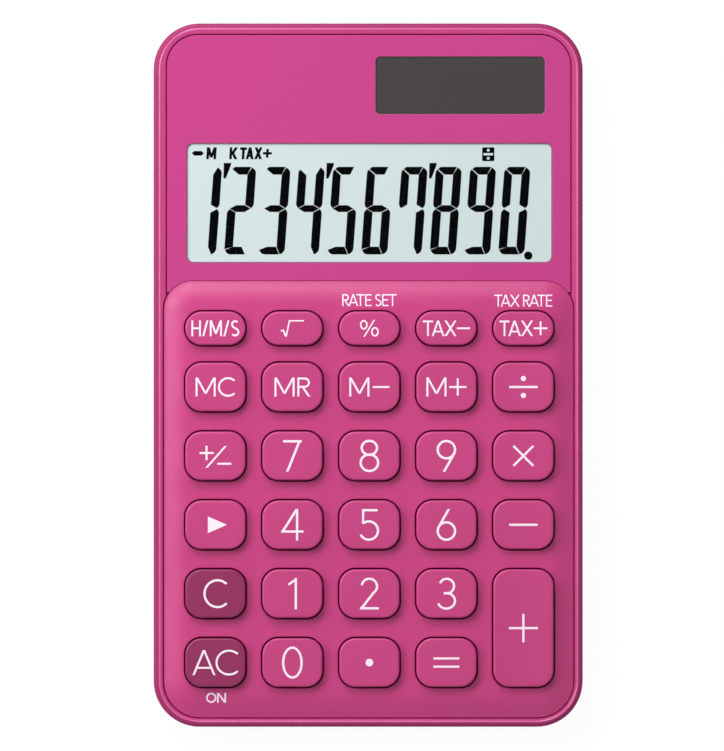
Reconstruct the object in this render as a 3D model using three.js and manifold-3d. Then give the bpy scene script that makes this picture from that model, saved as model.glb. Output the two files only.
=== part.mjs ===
// A slim desk calculator with a ten-digit liquid crystal display and twenty-nine keys.
// Millimetres. X runs across the keys, +Y towards the display, +Z up out of the keys.
// The origin lies under the middle of the case, on the surface that the calculator lies on.

import * as THREE from 'three';
import { mergeVertices } from 'three/addons/utils/BufferGeometryUtils.js';
import Module from 'manifold-3d';

const wasm = await Module();
wasm.setup();

// ---------------------------------------------------------------- driving dimensions

// Keys: the body stands in its aperture, and the flange round its foot keeps it in the case.
const KEY_WIDTH = 9.95;
const KEY_LENGTH = 8.05;
const FUNCTION_KEY_LENGTH = 5.56;
const KEY_CORNER_RADIUS = 2.7;
const KEY_CLEARANCE = 0.25;
const KEY_EDGE_BEVEL = 0.3;
const KEY_STANDS_PROUD = 1.25;
const OPERATOR_DISH = 0.2; // how far the tops of the right-hand keys are hollowed across
const FLANGE_REACH = 0.75;
const FLANGE_THICKNESS = 0.7;

// Key field, from the lower edge of the case up to the edge of the deck.
const COLUMN_GAP = 2.78;
const ROW_GAP = 3.34;
const FUNCTION_ROW_GAP = 2.9;
const KEY_SIDE_MARGIN = 5.065;
const KEY_BOTTOM_MARGIN = 6.65;
const DECK_TOP_MARGIN = 5.07;
const FACE_SHIFT = 0.2; // keys and display stand this far right of the case's middle

// Display and solar windows.
const DECK_TO_DISPLAY = 3.1;
const DISPLAY_WIDTH = 60.3;
const DISPLAY_HEIGHT = 19.6;
const DISPLAY_CORNER_RADIUS = 1.0;
const DISPLAY_TO_SOLAR = 4.95;
const SOLAR_WIDTH = 27.9;
const SOLAR_HEIGHT = 9.4;
const SOLAR_CORNER_RADIUS = 0.7;
const HEAD_MARGIN = 5.55;
const WINDOW_CLEARANCE = 0.1;
const DISPLAY_WINDOW_THICKNESS = 0.4;
const SOLAR_WINDOW_THICKNESS = 0.45;
const SOLAR_WINDOW_LEDGE = 0.8;

// Case shells.
const CASE_CORNER_RADIUS = 7.6;
const FRONT_WALL = 1.2;
const RIM_SLOPE_WIDTH = 0.95;
const RIM_SLOPE_HEIGHT = 1.15;
const RIM_STANDS_PROUD = 0.2;
const SHELF_THICKNESS = 1.0;
const PARTING_HEIGHT = 3.3;
const LIP_CLEARANCE = 0.1;
const LIP_THICKNESS = 0.6;
const LIP_HEIGHT = 0.8;
const REAR_WALL = 1.2;
const REAR_EDGE_WIDTH = 1.6;
const REAR_EDGE_HEIGHT = 1.8;
const FOOT_RADIUS = 2.6;
const FOOT_HEIGHT = 0.3;
const FOOT_INSET = 9.0;

// Pillow-shaped deck round the keys.
const DECK_WALL = 1.0;
const DECK_EDGE_WALL = 2.3;
const DECK_INSET = 1.65;
const DECK_GROOVE = 0.25;
const DECK_GROOVE_DEPTH = 0.7;
const DECK_TOP_CORNER_RADIUS = 4.8;
const PILLOW_WIDTH = 5.2;
const PILLOW_HEIGHT = 1.2;
const PILLOW_EASE = 1.8; // 1 would be a straight slope, more eases it out towards the keys
const DECK_RIB_WIDTH = 0.7;

// Panel let into the head of the case.
const PANEL_THICKNESS = 0.6;
const PANEL_SIDE_INSET = 1.95;
const PANEL_TOP_INSET = 1.75;
const PANEL_CORNER_RADIUS = 5.3;
const PANEL_CLEARANCE = 0.15;
const PANEL_HORN = 1.9; // how far the panel reaches down beside the deck's round corners

// Circuit board and key mat.
const BOARD_RIB_HEIGHT = 0.7;
const BOARD_RIB_WIDTH = 0.8;
const BOARD_THICKNESS = 1.0;
const BOARD_EDGE_MARGIN = 0.6;
const MAT_THICKNESS = 0.6;
const MAT_MARGIN = 0.5;
const DOME_HEIGHT = 1.7;
const DOME_TOP_RADIUS = 2.0;
const DOME_BASE_RADIUS = 3.2;
const DOME_WALL = 0.6;

// Display stack.
const GLASS_THICKNESS = 1.1;
const GLASS_SIDE_BORDER = 2.05;
const GLASS_BOTTOM_BORDER = 1.4;
const GLASS_TOP_BORDER = 0.7;
const GLASS_LEDGE = 2.4; // the front glass reaches this far past the rear one, for its contacts
const GLASS_CLEARANCE = 0.3;
const REFLECTOR_THICKNESS = 0.2;
const CONNECTOR_WIDTH = 1.8;

// Solar cell and the parts on the board.
const CELL_BORDER = 0.4;
const CELL_THICKNESS = 1.1;
const LEAD_RADIUS = 0.22;
const LEAD_STUB = 0.44;
const LEAD_FALL = 0.66;
const LEAD_TAIL = 0.66;
const LEAD_LIFT = 0.02; // solder under the tail
const LEAD_SPACING = 5.0;
const CHIP_RADIUS = 3.0;
const CHIP_HEIGHT = 1.0;
const CAPACITOR_SIZE = new THREE.Vector3(2.0, 1.25, 0.9);
const DIODE_SIZE = new THREE.Vector3(1.6, 0.9, 0.8);

// Battery: a standard alkaline button cell between two contact springs.
const BATTERY_RADIUS = 5.8;
const BATTERY_THICKNESS = 3.05;
const BATTERY_CAP_RADIUS = 4.7;
const BATTERY_CAP_HEIGHT = 0.35;
const BATTERY_CLEARANCE = 0.3;
const BATTERY_RING_WALL = 0.8;
const BATTERY_RING_HEIGHT = 2.0;
const CONTACT_THICKNESS = 0.2;
const CONTACT_WIDTH = 3.0;
const CONTACT_OVERLAP = 2.4;
const CONTACT_STEP = 1.2;

// Case screws, from the rear into bosses of the front shell.
const BOSS_RADIUS = 1.7;
const BOSS_CLEARANCE = 0.3;
const REAR_BOSS_RADIUS = 2.2;
const REAR_BOSS_HEIGHT = 0.9;
const SCREW_HEAD_RADIUS = 1.45;
const SCREW_HEAD_HEIGHT = 0.8;
const SCREW_HEAD_SUNK = 0.15;
const SCREW_HEAD_CLEARANCE = 0.15;
const SCREW_RADIUS = 0.65;
const SCREW_HOLE_CLEARANCE = 0.1;
const SCREW_GRIP = 2.4;
const PILOT_DEPTH = 2.8;

// Facets of the round forms.
const CASE_CORNER_STEPS = 6;
const KEY_CORNER_STEPS = 3;
const EDGE_STEPS = 4;
const PILLOW_STEPS = 5;
const DISH_STEPS = 6;
const ROUND_SIDES = 12;
const BATTERY_SIDES = 18;
const DOME_SIDES = 8;
const LEAD_SIDES = 6;
const LEAD_STEPS = 6;
const MIN_CORNER_RADIUS = 0.2;
const ROUND_END_FLAT = 0.08; // the straight stretch left in the middle of a fully round end
const CUT_MARGIN = 1.0; // how far a cutting tool runs past the face that it cuts
const JOIN_DEPTH = 0.2; // how deep a rib, boss or foot is rooted in its wall

// Materials.
const SHELL_PLASTIC = { color: 0xc8548a, roughness: 0.4 };
const PANEL_PLASTIC = { color: 0xc4528c, roughness: 0.35 };
const KEY_PLASTIC = { color: 0xc8548a, roughness: 0.4 };
const DARK_KEY_PLASTIC = { color: 0x963963, roughness: 0.4 };
const CLEAR_PLASTIC = { color: 0xe4eeee, roughness: 0.08 };
const SMOKED_PLASTIC = { color: 0x4c4646, roughness: 0.15 };
const GLASS = { color: 0xd4e3e3, roughness: 0.1 };
const REFLECTOR_FILM = { color: 0xc9d6d6, roughness: 0.5, metalness: 0.4 };
const SILICON = { color: 0x2a2226, roughness: 0.2 };
const RUBBER = { color: 0x4a4a4c, roughness: 0.8 };
const CONDUCTIVE_RUBBER = { color: 0x6f6a66, roughness: 0.7 };
const BOARD_LAMINATE = { color: 0x2c5a3a, roughness: 0.5 };
const RESIN = { color: 0x151517, roughness: 0.35 };
const CERAMIC = { color: 0xb59a6a, roughness: 0.6 };
const SPRING_STEEL = { color: 0xb9bbbd, roughness: 0.3, metalness: 0.9 };
const SCREW_STEEL = { color: 0x8d9093, roughness: 0.35, metalness: 0.9 };

// ---------------------------------------------------------------- key layout

// Rows from the display down. The tall key also fills the place below it, which is left out.
const FUNCTION_ROW = ['time', 'root', 'percent', 'tax_minus', 'tax_plus'];
const NUMBER_ROWS = [
  ['memory_clear', 'memory_recall', 'memory_minus', 'memory_plus', 'divide'],
  ['sign', '7', '8', '9', 'multiply'],
  ['shift', '4', '5', '6', 'minus'],
  ['clear', '1', '2', '3', 'plus'],
  ['all_clear', '0', 'point', 'equals'],
];
const OPERATOR_KEYS = ['tax_plus', 'divide', 'multiply', 'minus', 'plus'];
const TALL_KEY = 'plus';
const DARK_KEYS = ['clear', 'all_clear'];

// ---------------------------------------------------------------- places worked out from the sizes

// Heights above the surface that the calculator lies on.
const floorZ = FOOT_HEIGHT + REAR_WALL;
const boardUnderZ = floorZ + BOARD_RIB_HEIGHT;
const boardTopZ = boardUnderZ + BOARD_THICKNESS;
const matTopZ = boardTopZ + MAT_THICKNESS;
const domeTopZ = matTopZ + DOME_HEIGHT;
const deckUnderZ = domeTopZ + FLANGE_THICKNESS;
const deckTopZ = deckUnderZ + DECK_WALL;
const deckEdgeZ = deckTopZ - PILLOW_HEIGHT;
const keyTopZ = deckTopZ + KEY_STANDS_PROUD;
const rearGlassZ = boardTopZ + REFLECTOR_THICKNESS;
const frontGlassZ = rearGlassZ + GLASS_THICKNESS;
const shelfTopZ = frontGlassZ + GLASS_THICKNESS;
const shelfUnderZ = shelfTopZ - SHELF_THICKNESS;
const panelTopZ = shelfTopZ + PANEL_THICKNESS;
const rimTopZ = panelTopZ + RIM_STANDS_PROUD;
const grooveZ = rimTopZ - DECK_GROOVE_DEPTH;
const bossMeetZ = floorZ + REAR_BOSS_HEIGHT;
const screwSeatZ = FOOT_HEIGHT + SCREW_HEAD_SUNK + SCREW_HEAD_HEIGHT;
const batteryUnderZ = floorZ + CONTACT_THICKNESS;
const batteryTopZ = batteryUnderZ + BATTERY_THICKNESS;

// Across the case, which is as wide as the wider of its keys and its display.
const columnCount = FUNCTION_ROW.length;
const columnPitch = KEY_WIDTH + COLUMN_GAP;
const rowPitch = KEY_LENGTH + ROW_GAP;
const keyFieldWidth = columnCount * KEY_WIDTH + (columnCount - 1) * COLUMN_GAP;
const glassWidth = DISPLAY_WIDTH + 2 * GLASS_SIDE_BORDER;
const rearInset = FRONT_WALL + LIP_CLEARANCE + LIP_THICKNESS;
const glassRoom = rearInset + GLASS_CLEARANCE + FACE_SHIFT;
const caseWidth = Math.max(keyFieldWidth + 2 * KEY_SIDE_MARGIN, glassWidth + 2 * glassRoom);

// Along the case, counted from its lower edge.
const rowCount = NUMBER_ROWS.length;
const numberRowsTop = KEY_BOTTOM_MARGIN + rowCount * KEY_LENGTH + (rowCount - 1) * ROW_GAP;
const functionRowTop = numberRowsTop + FUNCTION_ROW_GAP + FUNCTION_KEY_LENGTH;
const deckTop = functionRowTop + DECK_TOP_MARGIN;
const displayBottom = deckTop + DECK_TO_DISPLAY;
const displayTop = displayBottom + DISPLAY_HEIGHT;
const frontGlassTop = displayTop + GLASS_TOP_BORDER + GLASS_LEDGE;
const solarBottom = displayTop + DISPLAY_TO_SOLAR;
const batteryRingRadius = BATTERY_RADIUS + BATTERY_CLEARANCE + BATTERY_RING_WALL;
const batteryRoom = GLASS_CLEARANCE + 2 * batteryRingRadius + rearInset;
const caseLength = Math.max(solarBottom + SOLAR_HEIGHT + HEAD_MARGIN, frontGlassTop + batteryRoom);

// Places in the part's own frame.
const rightX = caseWidth / 2;
const upperY = caseLength / 2;
const lowerY = -upperY;
const deckTopY = lowerY + deckTop;
const displayY = lowerY + displayBottom + DISPLAY_HEIGHT / 2;
const solarY = lowerY + solarBottom + SOLAR_HEIGHT / 2;
const frontGlassTopY = lowerY + frontGlassTop;
const rearGlassTopY = frontGlassTopY - GLASS_LEDGE;
const glassBottomY = lowerY + displayBottom - GLASS_BOTTOM_BORDER;
const bossInset = rearInset + BOSS_CLEARANCE + BOSS_RADIUS;
const headBossX = rightX - bossInset;
const innerBossX = (columnCount / 2 - 1) * columnPitch;
const middleBossY = lowerY + numberRowsTop + FUNCTION_ROW_GAP / 2;
const lowBossY = lowerY + bossInset;
const solarX = headBossX - BOSS_RADIUS - BOSS_CLEARANCE - CELL_BORDER - SOLAR_WIDTH / 2;
const rearBossReach = REAR_BOSS_RADIUS + BOSS_CLEARANCE;
const batteryX = -headBossX + rearBossReach + batteryRingRadius;
const batteryY = (frontGlassTopY + GLASS_CLEARANCE + upperY - rearInset) / 2;
const contactStartX = batteryX - BATTERY_CAP_RADIUS / 2;
const boardHeadLeftX = batteryX + batteryRingRadius + CONTACT_STEP;

const BOSSES = [
  [-headBossX, solarY],
  [headBossX, solarY],
  [FACE_SHIFT - innerBossX, middleBossY],
  [FACE_SHIFT + innerBossX, middleBossY],
  [FACE_SHIFT - innerBossX, lowBossY],
  [FACE_SHIFT + innerBossX, lowBossY],
];

// ---------------------------------------------------------------- outlines

// A rectangle with round corners, whose upper corners may be rounder than its lower ones.
function area(left, right, bottom, top, radius, upperRadius = radius) {
  return { left, right, bottom, top, radius, upperRadius };
}

function areaAt(x, y, width, length, radius) {
  return area(x - width / 2, x + width / 2, y - length / 2, y + length / 2, radius);
}

// The same outline moved outwards by a margin, or inwards where the margin is negative.
function grown({ left, right, bottom, top, radius, upperRadius }, margin) {
  const corner = (old) => Math.max(old + margin, MIN_CORNER_RADIUS);
  return area(
    left - margin,
    right + margin,
    bottom - margin,
    top + margin,
    corner(radius),
    corner(upperRadius),
  );
}

// The points of an outline, anticlockwise from its right-hand side.
function outlinePoints({ left, right, bottom, top, radius, upperRadius }, steps) {
  const corners = [
    [right - upperRadius, top - upperRadius, upperRadius],
    [left + upperRadius, top - upperRadius, upperRadius],
    [left + radius, bottom + radius, radius],
    [right - radius, bottom + radius, radius],
  ];
  return corners.flatMap(([x, y, cornerRadius], quarter) =>
    Array.from({ length: steps + 1 }, (_, step) => {
      const angle = ((quarter + step / steps) * Math.PI) / 2;
      return [x + cornerRadius * Math.cos(angle), y + cornerRadius * Math.sin(angle)];
    }),
  );
}

// Sections that round off an edge over a quarter of an ellipse, from the side to the end face.
function roundedEdge(side, width, height, sideZ) {
  return Array.from({ length: EDGE_STEPS + 1 }, (_, step) => {
    const angle = ((step / EDGE_STEPS) * Math.PI) / 2;
    return [grown(side, -width * (1 - Math.cos(angle))), sideZ + height * Math.sin(angle)];
  });
}

// Sections of the pillow's edge, a slope that eases out to the flat round the keys.
function pillowEdge() {
  return Array.from({ length: PILLOW_STEPS + 1 }, (_, step) => {
    const share = step / PILLOW_STEPS;
    const rise = PILLOW_HEIGHT * (1 - (1 - share) ** PILLOW_EASE);
    return [grown(deckArea, -PILLOW_WIDTH * share), deckEdgeZ + rise];
  });
}

// The middles of the gaps between the number rows, from the display down.
function rowGaps() {
  const first = lowerY + numberRowsTop - KEY_LENGTH - ROW_GAP / 2;
  return NUMBER_ROWS.slice(1).map((_, gap) => first - gap * rowPitch);
}

// The place and size of each key: [name, x, y, length].
function keyPlaces() {
  const columnX = (column) => FACE_SHIFT + (column - (columnCount - 1) / 2) * columnPitch;
  const functionY = lowerY + functionRowTop - FUNCTION_KEY_LENGTH / 2;
  const places = FUNCTION_ROW.map((name, column) => [
    name,
    columnX(column),
    functionY,
    FUNCTION_KEY_LENGTH,
  ]);
  NUMBER_ROWS.forEach((names, row) => {
    const y = lowerY + numberRowsTop - KEY_LENGTH / 2 - row * rowPitch;
    names.forEach((name, column) => {
      const tall = name === TALL_KEY;
      const length = tall ? KEY_LENGTH + rowPitch : KEY_LENGTH;
      places.push([name, columnX(column), tall ? y - rowPitch / 2 : y, length]);
    });
  });
  return places;
}

function keyArea(x, y, length) {
  const radius = Math.min(KEY_CORNER_RADIUS, length / 2 - ROUND_END_FLAT);
  return areaAt(x, y, KEY_WIDTH, length, radius);
}

const caseArea = areaAt(0, 0, caseWidth, caseLength, CASE_CORNER_RADIUS);
const deckArea = area(
  -rightX + DECK_INSET,
  rightX - DECK_INSET,
  lowerY + DECK_INSET,
  deckTopY,
  CASE_CORNER_RADIUS - DECK_INSET,
  DECK_TOP_CORNER_RADIUS,
);
const keyCavityArea = grown(deckArea, -DECK_EDGE_WALL);
const panelRecessArea = area(
  -rightX + PANEL_SIDE_INSET,
  rightX - PANEL_SIDE_INSET,
  deckTopY - DECK_TOP_CORNER_RADIUS,
  upperY - PANEL_TOP_INSET,
  MIN_CORNER_RADIUS,
  PANEL_CORNER_RADIUS,
);
const displayArea = areaAt(
  FACE_SHIFT,
  displayY,
  DISPLAY_WIDTH,
  DISPLAY_HEIGHT,
  DISPLAY_CORNER_RADIUS,
);
const solarArea = areaAt(solarX, solarY, SOLAR_WIDTH, SOLAR_HEIGHT, SOLAR_CORNER_RADIUS);
const leadStartX = solarArea.left - CELL_BORDER - LEAD_RADIUS / 2;
const leadEndX = leadStartX - LEAD_STUB - LEAD_FALL - LEAD_TAIL;
const frontGlassArea = area(
  FACE_SHIFT - glassWidth / 2,
  FACE_SHIFT + glassWidth / 2,
  glassBottomY,
  frontGlassTopY,
  MIN_CORNER_RADIUS,
);
const rearGlassArea = { ...frontGlassArea, top: rearGlassTopY };
const boardArea = area(
  -rightX + rearInset + BOARD_EDGE_MARGIN,
  rightX - rearInset - BOARD_EDGE_MARGIN,
  lowBossY + rearBossReach,
  batteryY - batteryRingRadius - BOSS_CLEARANCE,
  MIN_CORNER_RADIUS,
);
const boardHeadArea = area(
  boardHeadLeftX,
  headBossX - rearBossReach,
  boardArea.top,
  upperY - rearInset - BOARD_EDGE_MARGIN,
  MIN_CORNER_RADIUS,
);
const matArea = area(
  FACE_SHIFT - keyFieldWidth / 2 - MAT_MARGIN,
  FACE_SHIFT + keyFieldWidth / 2 + MAT_MARGIN,
  boardArea.bottom,
  lowerY + functionRowTop + MAT_MARGIN,
  KEY_CORNER_RADIUS,
);

// ---------------------------------------------------------------- solids

// A closed solid through a stack of sections, each an outline and its height.
function loft(sections, steps) {
  const rings = sections.map(([section, z]) =>
    outlinePoints(section, steps).map(([x, y]) => [x, y, z]),
  );
  const count = rings[0].length;
  const top = (rings.length - 1) * count;
  const triangles = [];
  for (let ring = 0; ring < rings.length - 1; ring += 1) {
    for (let i = 0; i < count; i += 1) {
      const here = ring * count + i;
      const next = ring * count + ((i + 1) % count);
      triangles.push(here, next, next + count, here, next + count, here + count);
    }
  }
  for (let i = 1; i < count - 1; i += 1) {
    triangles.push(0, i + 1, i);
    triangles.push(top, top + i, top + i + 1);
  }
  const geometry = new THREE.BufferGeometry();
  geometry.setAttribute('position', new THREE.Float32BufferAttribute(rings.flat(2), 3));
  geometry.setIndex(triangles);
  return geometry;
}

function prism(section, bottomZ, topZ, steps = KEY_CORNER_STEPS) {
  return loft([[section, bottomZ], [section, topZ]], steps);
}

// An upright cylinder, or a cone cut off by its two radii.
function upright(x, y, bottomRadius, topRadius, bottomZ, topZ, sides = ROUND_SIDES) {
  return new THREE.CylinderGeometry(topRadius, bottomRadius, topZ - bottomZ, sides)
    .rotateX(Math.PI / 2)
    .translate(x, y, (bottomZ + topZ) / 2);
}

// A turned solid from its half section, given as [radius, height] pairs.
function turned(section, sides) {
  const profile = section.map(([radius, z]) => new THREE.Vector2(radius, z));
  return new THREE.LatheGeometry(profile, sides).rotateX(Math.PI / 2);
}

function toSolid(geometry) {
  const bare = geometry.clone();
  bare.deleteAttribute('normal');
  bare.deleteAttribute('uv');
  const merged = mergeVertices(bare);
  const mesh = new wasm.Mesh({
    numProp: 3,
    vertProperties: new Float32Array(merged.attributes.position.array),
    triVerts: new Uint32Array(merged.index.array),
  });
  return new wasm.Manifold(mesh);
}

function toGeometry(solid) {
  const mesh = solid.getMesh();
  const geometry = new THREE.BufferGeometry();
  geometry.setAttribute('position', new THREE.BufferAttribute(mesh.vertProperties, 3));
  geometry.setIndex(new THREE.BufferAttribute(mesh.triVerts, 1));
  return geometry;
}

function joined(solid, geometries) {
  return geometries.reduce((sum, geometry) => sum.add(toSolid(geometry)), solid);
}

function cut(solid, geometries) {
  return geometries.reduce((rest, geometry) => rest.subtract(toSolid(geometry)), solid);
}

// ---------------------------------------------------------------- front shell

function bossCylinder(x, y) {
  const rootZ = y > deckTopY ? shelfUnderZ : deckUnderZ;
  return upright(x, y, BOSS_RADIUS, BOSS_RADIUS, bossMeetZ, rootZ + JOIN_DEPTH);
}

function pilotHole(x, y) {
  const radius = SCREW_RADIUS + SCREW_HOLE_CLEARANCE;
  return upright(x, y, radius, radius, bossMeetZ - CUT_MARGIN, bossMeetZ + PILOT_DEPTH);
}

// Ribs under the deck, one in each gap between the number rows, that hold the key mat down.
function deckRibs() {
  const tallKeyRow = NUMBER_ROWS.findIndex((names) => names.includes(TALL_KEY));
  const tallKeyLeft = FACE_SHIFT + keyFieldWidth / 2 - KEY_WIDTH - COLUMN_GAP / 2;
  return rowGaps().map((y, gap) => {
    const rib = area(
      keyCavityArea.left - JOIN_DEPTH,
      gap === tallKeyRow ? tallKeyLeft : keyCavityArea.right + JOIN_DEPTH,
      y - DECK_RIB_WIDTH / 2,
      y + DECK_RIB_WIDTH / 2,
      MIN_CORNER_RADIUS,
    );
    return prism(rib, matTopZ, deckUnderZ + JOIN_DEPTH, 1);
  });
}

function contactSlot() {
  const halfWidth = CONTACT_WIDTH / 2 + BATTERY_CLEARANCE;
  return area(
    batteryX,
    boardHeadLeftX + CONTACT_OVERLAP,
    batteryY - halfWidth,
    batteryY + halfWidth,
    MIN_CORNER_RADIUS,
  );
}

// Openings in the shelf under the panel: display glass, solar cell, and battery with its contact.
function shelfOpenings() {
  const batteryOpening = BATTERY_RADIUS + BATTERY_CLEARANCE;
  const bottomZ = shelfUnderZ - CUT_MARGIN;
  const topZ = shelfTopZ + CUT_MARGIN;
  return [
    prism(grown(frontGlassArea, GLASS_CLEARANCE), bottomZ, topZ),
    prism(grown(solarArea, -SOLAR_WINDOW_LEDGE), bottomZ, topZ),
    upright(batteryX, batteryY, batteryOpening, batteryOpening, bottomZ, topZ, BATTERY_SIDES),
    prism(contactSlot(), bottomZ, topZ),
  ];
}

function keyApertures() {
  return keyPlaces().map(([, x, y, length]) =>
    prism(grown(keyArea(x, y, length), KEY_CLEARANCE), deckUnderZ - CUT_MARGIN, keyTopZ),
  );
}

// The front shell: rim, shelf for the panel, and the pillow deck with its key apertures.
function frontCase() {
  const rim = loft(
    [
      [caseArea, PARTING_HEIGHT],
      [caseArea, rimTopZ - RIM_SLOPE_HEIGHT],
      [grown(caseArea, -RIM_SLOPE_WIDTH), rimTopZ],
    ],
    CASE_CORNER_STEPS,
  );
  const skirt = grown(caseArea, -FRONT_WALL);
  const belowZ = PARTING_HEIGHT - CUT_MARGIN;
  const aboveZ = rimTopZ + CUT_MARGIN;
  const tray = cut(toSolid(rim), [
    prism(skirt, belowZ, shelfUnderZ, CASE_CORNER_STEPS),
    prism(panelRecessArea, shelfTopZ, aboveZ, CASE_CORNER_STEPS),
    prism(grown(deckArea, DECK_GROOVE), grooveZ, aboveZ, CASE_CORNER_STEPS),
  ]);
  const deck = loft([[deckArea, shelfUnderZ], ...pillowEdge()], CASE_CORNER_STEPS);
  const hollow = cut(joined(tray, [deck]), [
    prism(keyCavityArea, belowZ, deckUnderZ, CASE_CORNER_STEPS),
    ...shelfOpenings(),
    ...keyApertures(),
  ]);
  const bosses = BOSSES.map(([x, y]) => bossCylinder(x, y));
  const pilotHoles = BOSSES.map(([x, y]) => pilotHole(x, y));
  return toGeometry(cut(joined(hollow, [...bosses, ...deckRibs()]), pilotHoles));
}

// ---------------------------------------------------------------- rear shell

// Ribs across the floor that carry the circuit board.
function boardRibs() {
  const underDisplay = [displayArea.bottom, displayArea.top];
  return [...rowGaps(), ...underDisplay].map((y) => {
    const rib = area(
      boardArea.left,
      boardArea.right,
      y - BOARD_RIB_WIDTH / 2,
      y + BOARD_RIB_WIDTH / 2,
      MIN_CORNER_RADIUS,
    );
    return prism(rib, floorZ - JOIN_DEPTH, boardUnderZ, 1);
  });
}

function batteryRing() {
  const inner = batteryRingRadius - BATTERY_RING_WALL;
  const topZ = floorZ + BATTERY_RING_HEIGHT;
  const wall = upright(
    batteryX, batteryY, batteryRingRadius, batteryRingRadius, floorZ - JOIN_DEPTH, topZ, BATTERY_SIDES,
  );
  const bore = upright(batteryX, batteryY, inner, inner, floorZ, topZ + CUT_MARGIN, BATTERY_SIDES);
  return toGeometry(cut(toSolid(wall), [bore, prism(contactSlot(), floorZ, topZ + CUT_MARGIN)]));
}

function feet() {
  const x = rightX - FOOT_INSET;
  const y = upperY - FOOT_INSET;
  return [[-x, -y], [x, -y], [-x, y], [x, y]].map(([footX, footY]) =>
    upright(footX, footY, FOOT_RADIUS, FOOT_RADIUS, 0, FOOT_HEIGHT + JOIN_DEPTH),
  );
}

function rearBoss(x, y) {
  return upright(x, y, REAR_BOSS_RADIUS, REAR_BOSS_RADIUS, floorZ - JOIN_DEPTH, bossMeetZ);
}

// The counterbore for a screw's head and the hole for its shank.
function screwHole(x, y) {
  const headRadius = SCREW_HEAD_RADIUS + SCREW_HEAD_CLEARANCE;
  const radius = SCREW_RADIUS + SCREW_HOLE_CLEARANCE;
  return [
    upright(x, y, headRadius, headRadius, -CUT_MARGIN, screwSeatZ),
    upright(x, y, radius, radius, -CUT_MARGIN, bossMeetZ + CUT_MARGIN),
  ];
}

// The rear shell: floor with rounded edge, side wall up to the parting line, and the lip above it.
function rearCover() {
  const edge = roundedEdge(
    caseArea, REAR_EDGE_WIDTH, -REAR_EDGE_HEIGHT, FOOT_HEIGHT + REAR_EDGE_HEIGHT,
  );
  const outside = loft([...edge.reverse(), [caseArea, PARTING_HEIGHT]], CASE_CORNER_STEPS);
  const lipArea = grown(caseArea, -FRONT_WALL - LIP_CLEARANCE);
  const lipTopZ = PARTING_HEIGHT + LIP_HEIGHT;
  const block = joined(toSolid(outside), [prism(lipArea, floorZ, lipTopZ, CASE_CORNER_STEPS)]);
  const inside = prism(grown(caseArea, -rearInset), floorZ, lipTopZ + CUT_MARGIN, CASE_CORNER_STEPS);
  const shell = joined(cut(block, [inside]), [
    ...boardRibs(),
    ...feet(),
    ...BOSSES.map(([x, y]) => rearBoss(x, y)),
    batteryRing(),
  ]);
  return toGeometry(cut(shell, BOSSES.flatMap(([x, y]) => screwHole(x, y))));
}

// ---------------------------------------------------------------- panel and windows

// The inlaid panel, whose lower edge follows the deck's round corners.
function displayPanel() {
  const outside = { ...grown(panelRecessArea, -PANEL_CLEARANCE), bottom: deckTopY - PANEL_HORN };
  const plate = toSolid(prism(outside, shelfTopZ, panelTopZ, CASE_CORNER_STEPS));
  const belowZ = shelfTopZ - CUT_MARGIN;
  const aboveZ = panelTopZ + CUT_MARGIN;
  return toGeometry(
    cut(plate, [
      prism(grown(deckArea, PANEL_CLEARANCE), belowZ, aboveZ, CASE_CORNER_STEPS),
      prism(displayArea, belowZ, aboveZ),
      prism(solarArea, belowZ, aboveZ),
    ]),
  );
}

function windowLens(opening, thickness) {
  return prism(grown(opening, -WINDOW_CLEARANCE), shelfTopZ, shelfTopZ + thickness);
}

// ---------------------------------------------------------------- keys and key mat

// A bar along Y of a section given as [x, z] pairs.
function barAlongY(points, y, length) {
  const section = new THREE.Shape(points.map(([x, z]) => new THREE.Vector2(x, z)));
  return new THREE.ExtrudeGeometry(section, { depth: length, bevelEnabled: false })
    .rotateX(Math.PI / 2)
    .translate(0, y + length / 2, 0);
}

// A key from its foot up: the flange, the body and the bevelled top.
function keyCap(length) {
  const body = keyArea(0, 0, length);
  const flange = grown(body, FLANGE_REACH);
  const top = keyTopZ - domeTopZ;
  return loft(
    [
      [flange, 0],
      [flange, FLANGE_THICKNESS],
      [body, FLANGE_THICKNESS],
      [body, top - KEY_EDGE_BEVEL],
      [grown(body, -KEY_EDGE_BEVEL), top],
    ],
    KEY_CORNER_STEPS,
  );
}

// A key whose top is hollowed across its width.
function operatorCap(length) {
  const top = keyTopZ - domeTopZ;
  const hollow = Array.from({ length: DISH_STEPS + 1 }, (_, step) => {
    const share = (2 * step) / DISH_STEPS - 1;
    return [(share * KEY_WIDTH) / 2, top - OPERATOR_DISH * (1 - share ** 2)];
  });
  const above = [
    [KEY_WIDTH / 2, top + CUT_MARGIN],
    [-KEY_WIDTH / 2, top + CUT_MARGIN],
  ];
  const cutter = barAlongY([...hollow, ...above], 0, length + CUT_MARGIN);
  return toGeometry(cut(toSolid(keyCap(length)), [cutter]));
}

function domeAt(x, y, shrink, bottomZ, topZ) {
  const base = DOME_BASE_RADIUS - shrink;
  return upright(x, y, base, DOME_TOP_RADIUS - shrink, bottomZ, topZ, DOME_SIDES);
}

// The rubber mat: a sheet with a hollow dome under each key.
function keyMat() {
  const places = keyPlaces();
  const sheet = toSolid(prism(matArea, boardTopZ, matTopZ));
  const domes = places.map(([, x, y]) => domeAt(x, y, 0, matTopZ - JOIN_DEPTH, domeTopZ));
  const hollows = places.map(([, x, y]) =>
    domeAt(x, y, DOME_WALL, boardTopZ - CUT_MARGIN, domeTopZ - DOME_WALL),
  );
  const bossHoles = BOSSES.filter(([, y]) => y === middleBossY).map(([x, y]) => {
    const radius = BOSS_RADIUS + BOSS_CLEARANCE;
    return upright(x, y, radius, radius, boardTopZ - CUT_MARGIN, matTopZ + CUT_MARGIN);
  });
  return toGeometry(cut(joined(sheet, domes), [...hollows, ...bossHoles]));
}

// ---------------------------------------------------------------- board and electrical parts

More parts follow.
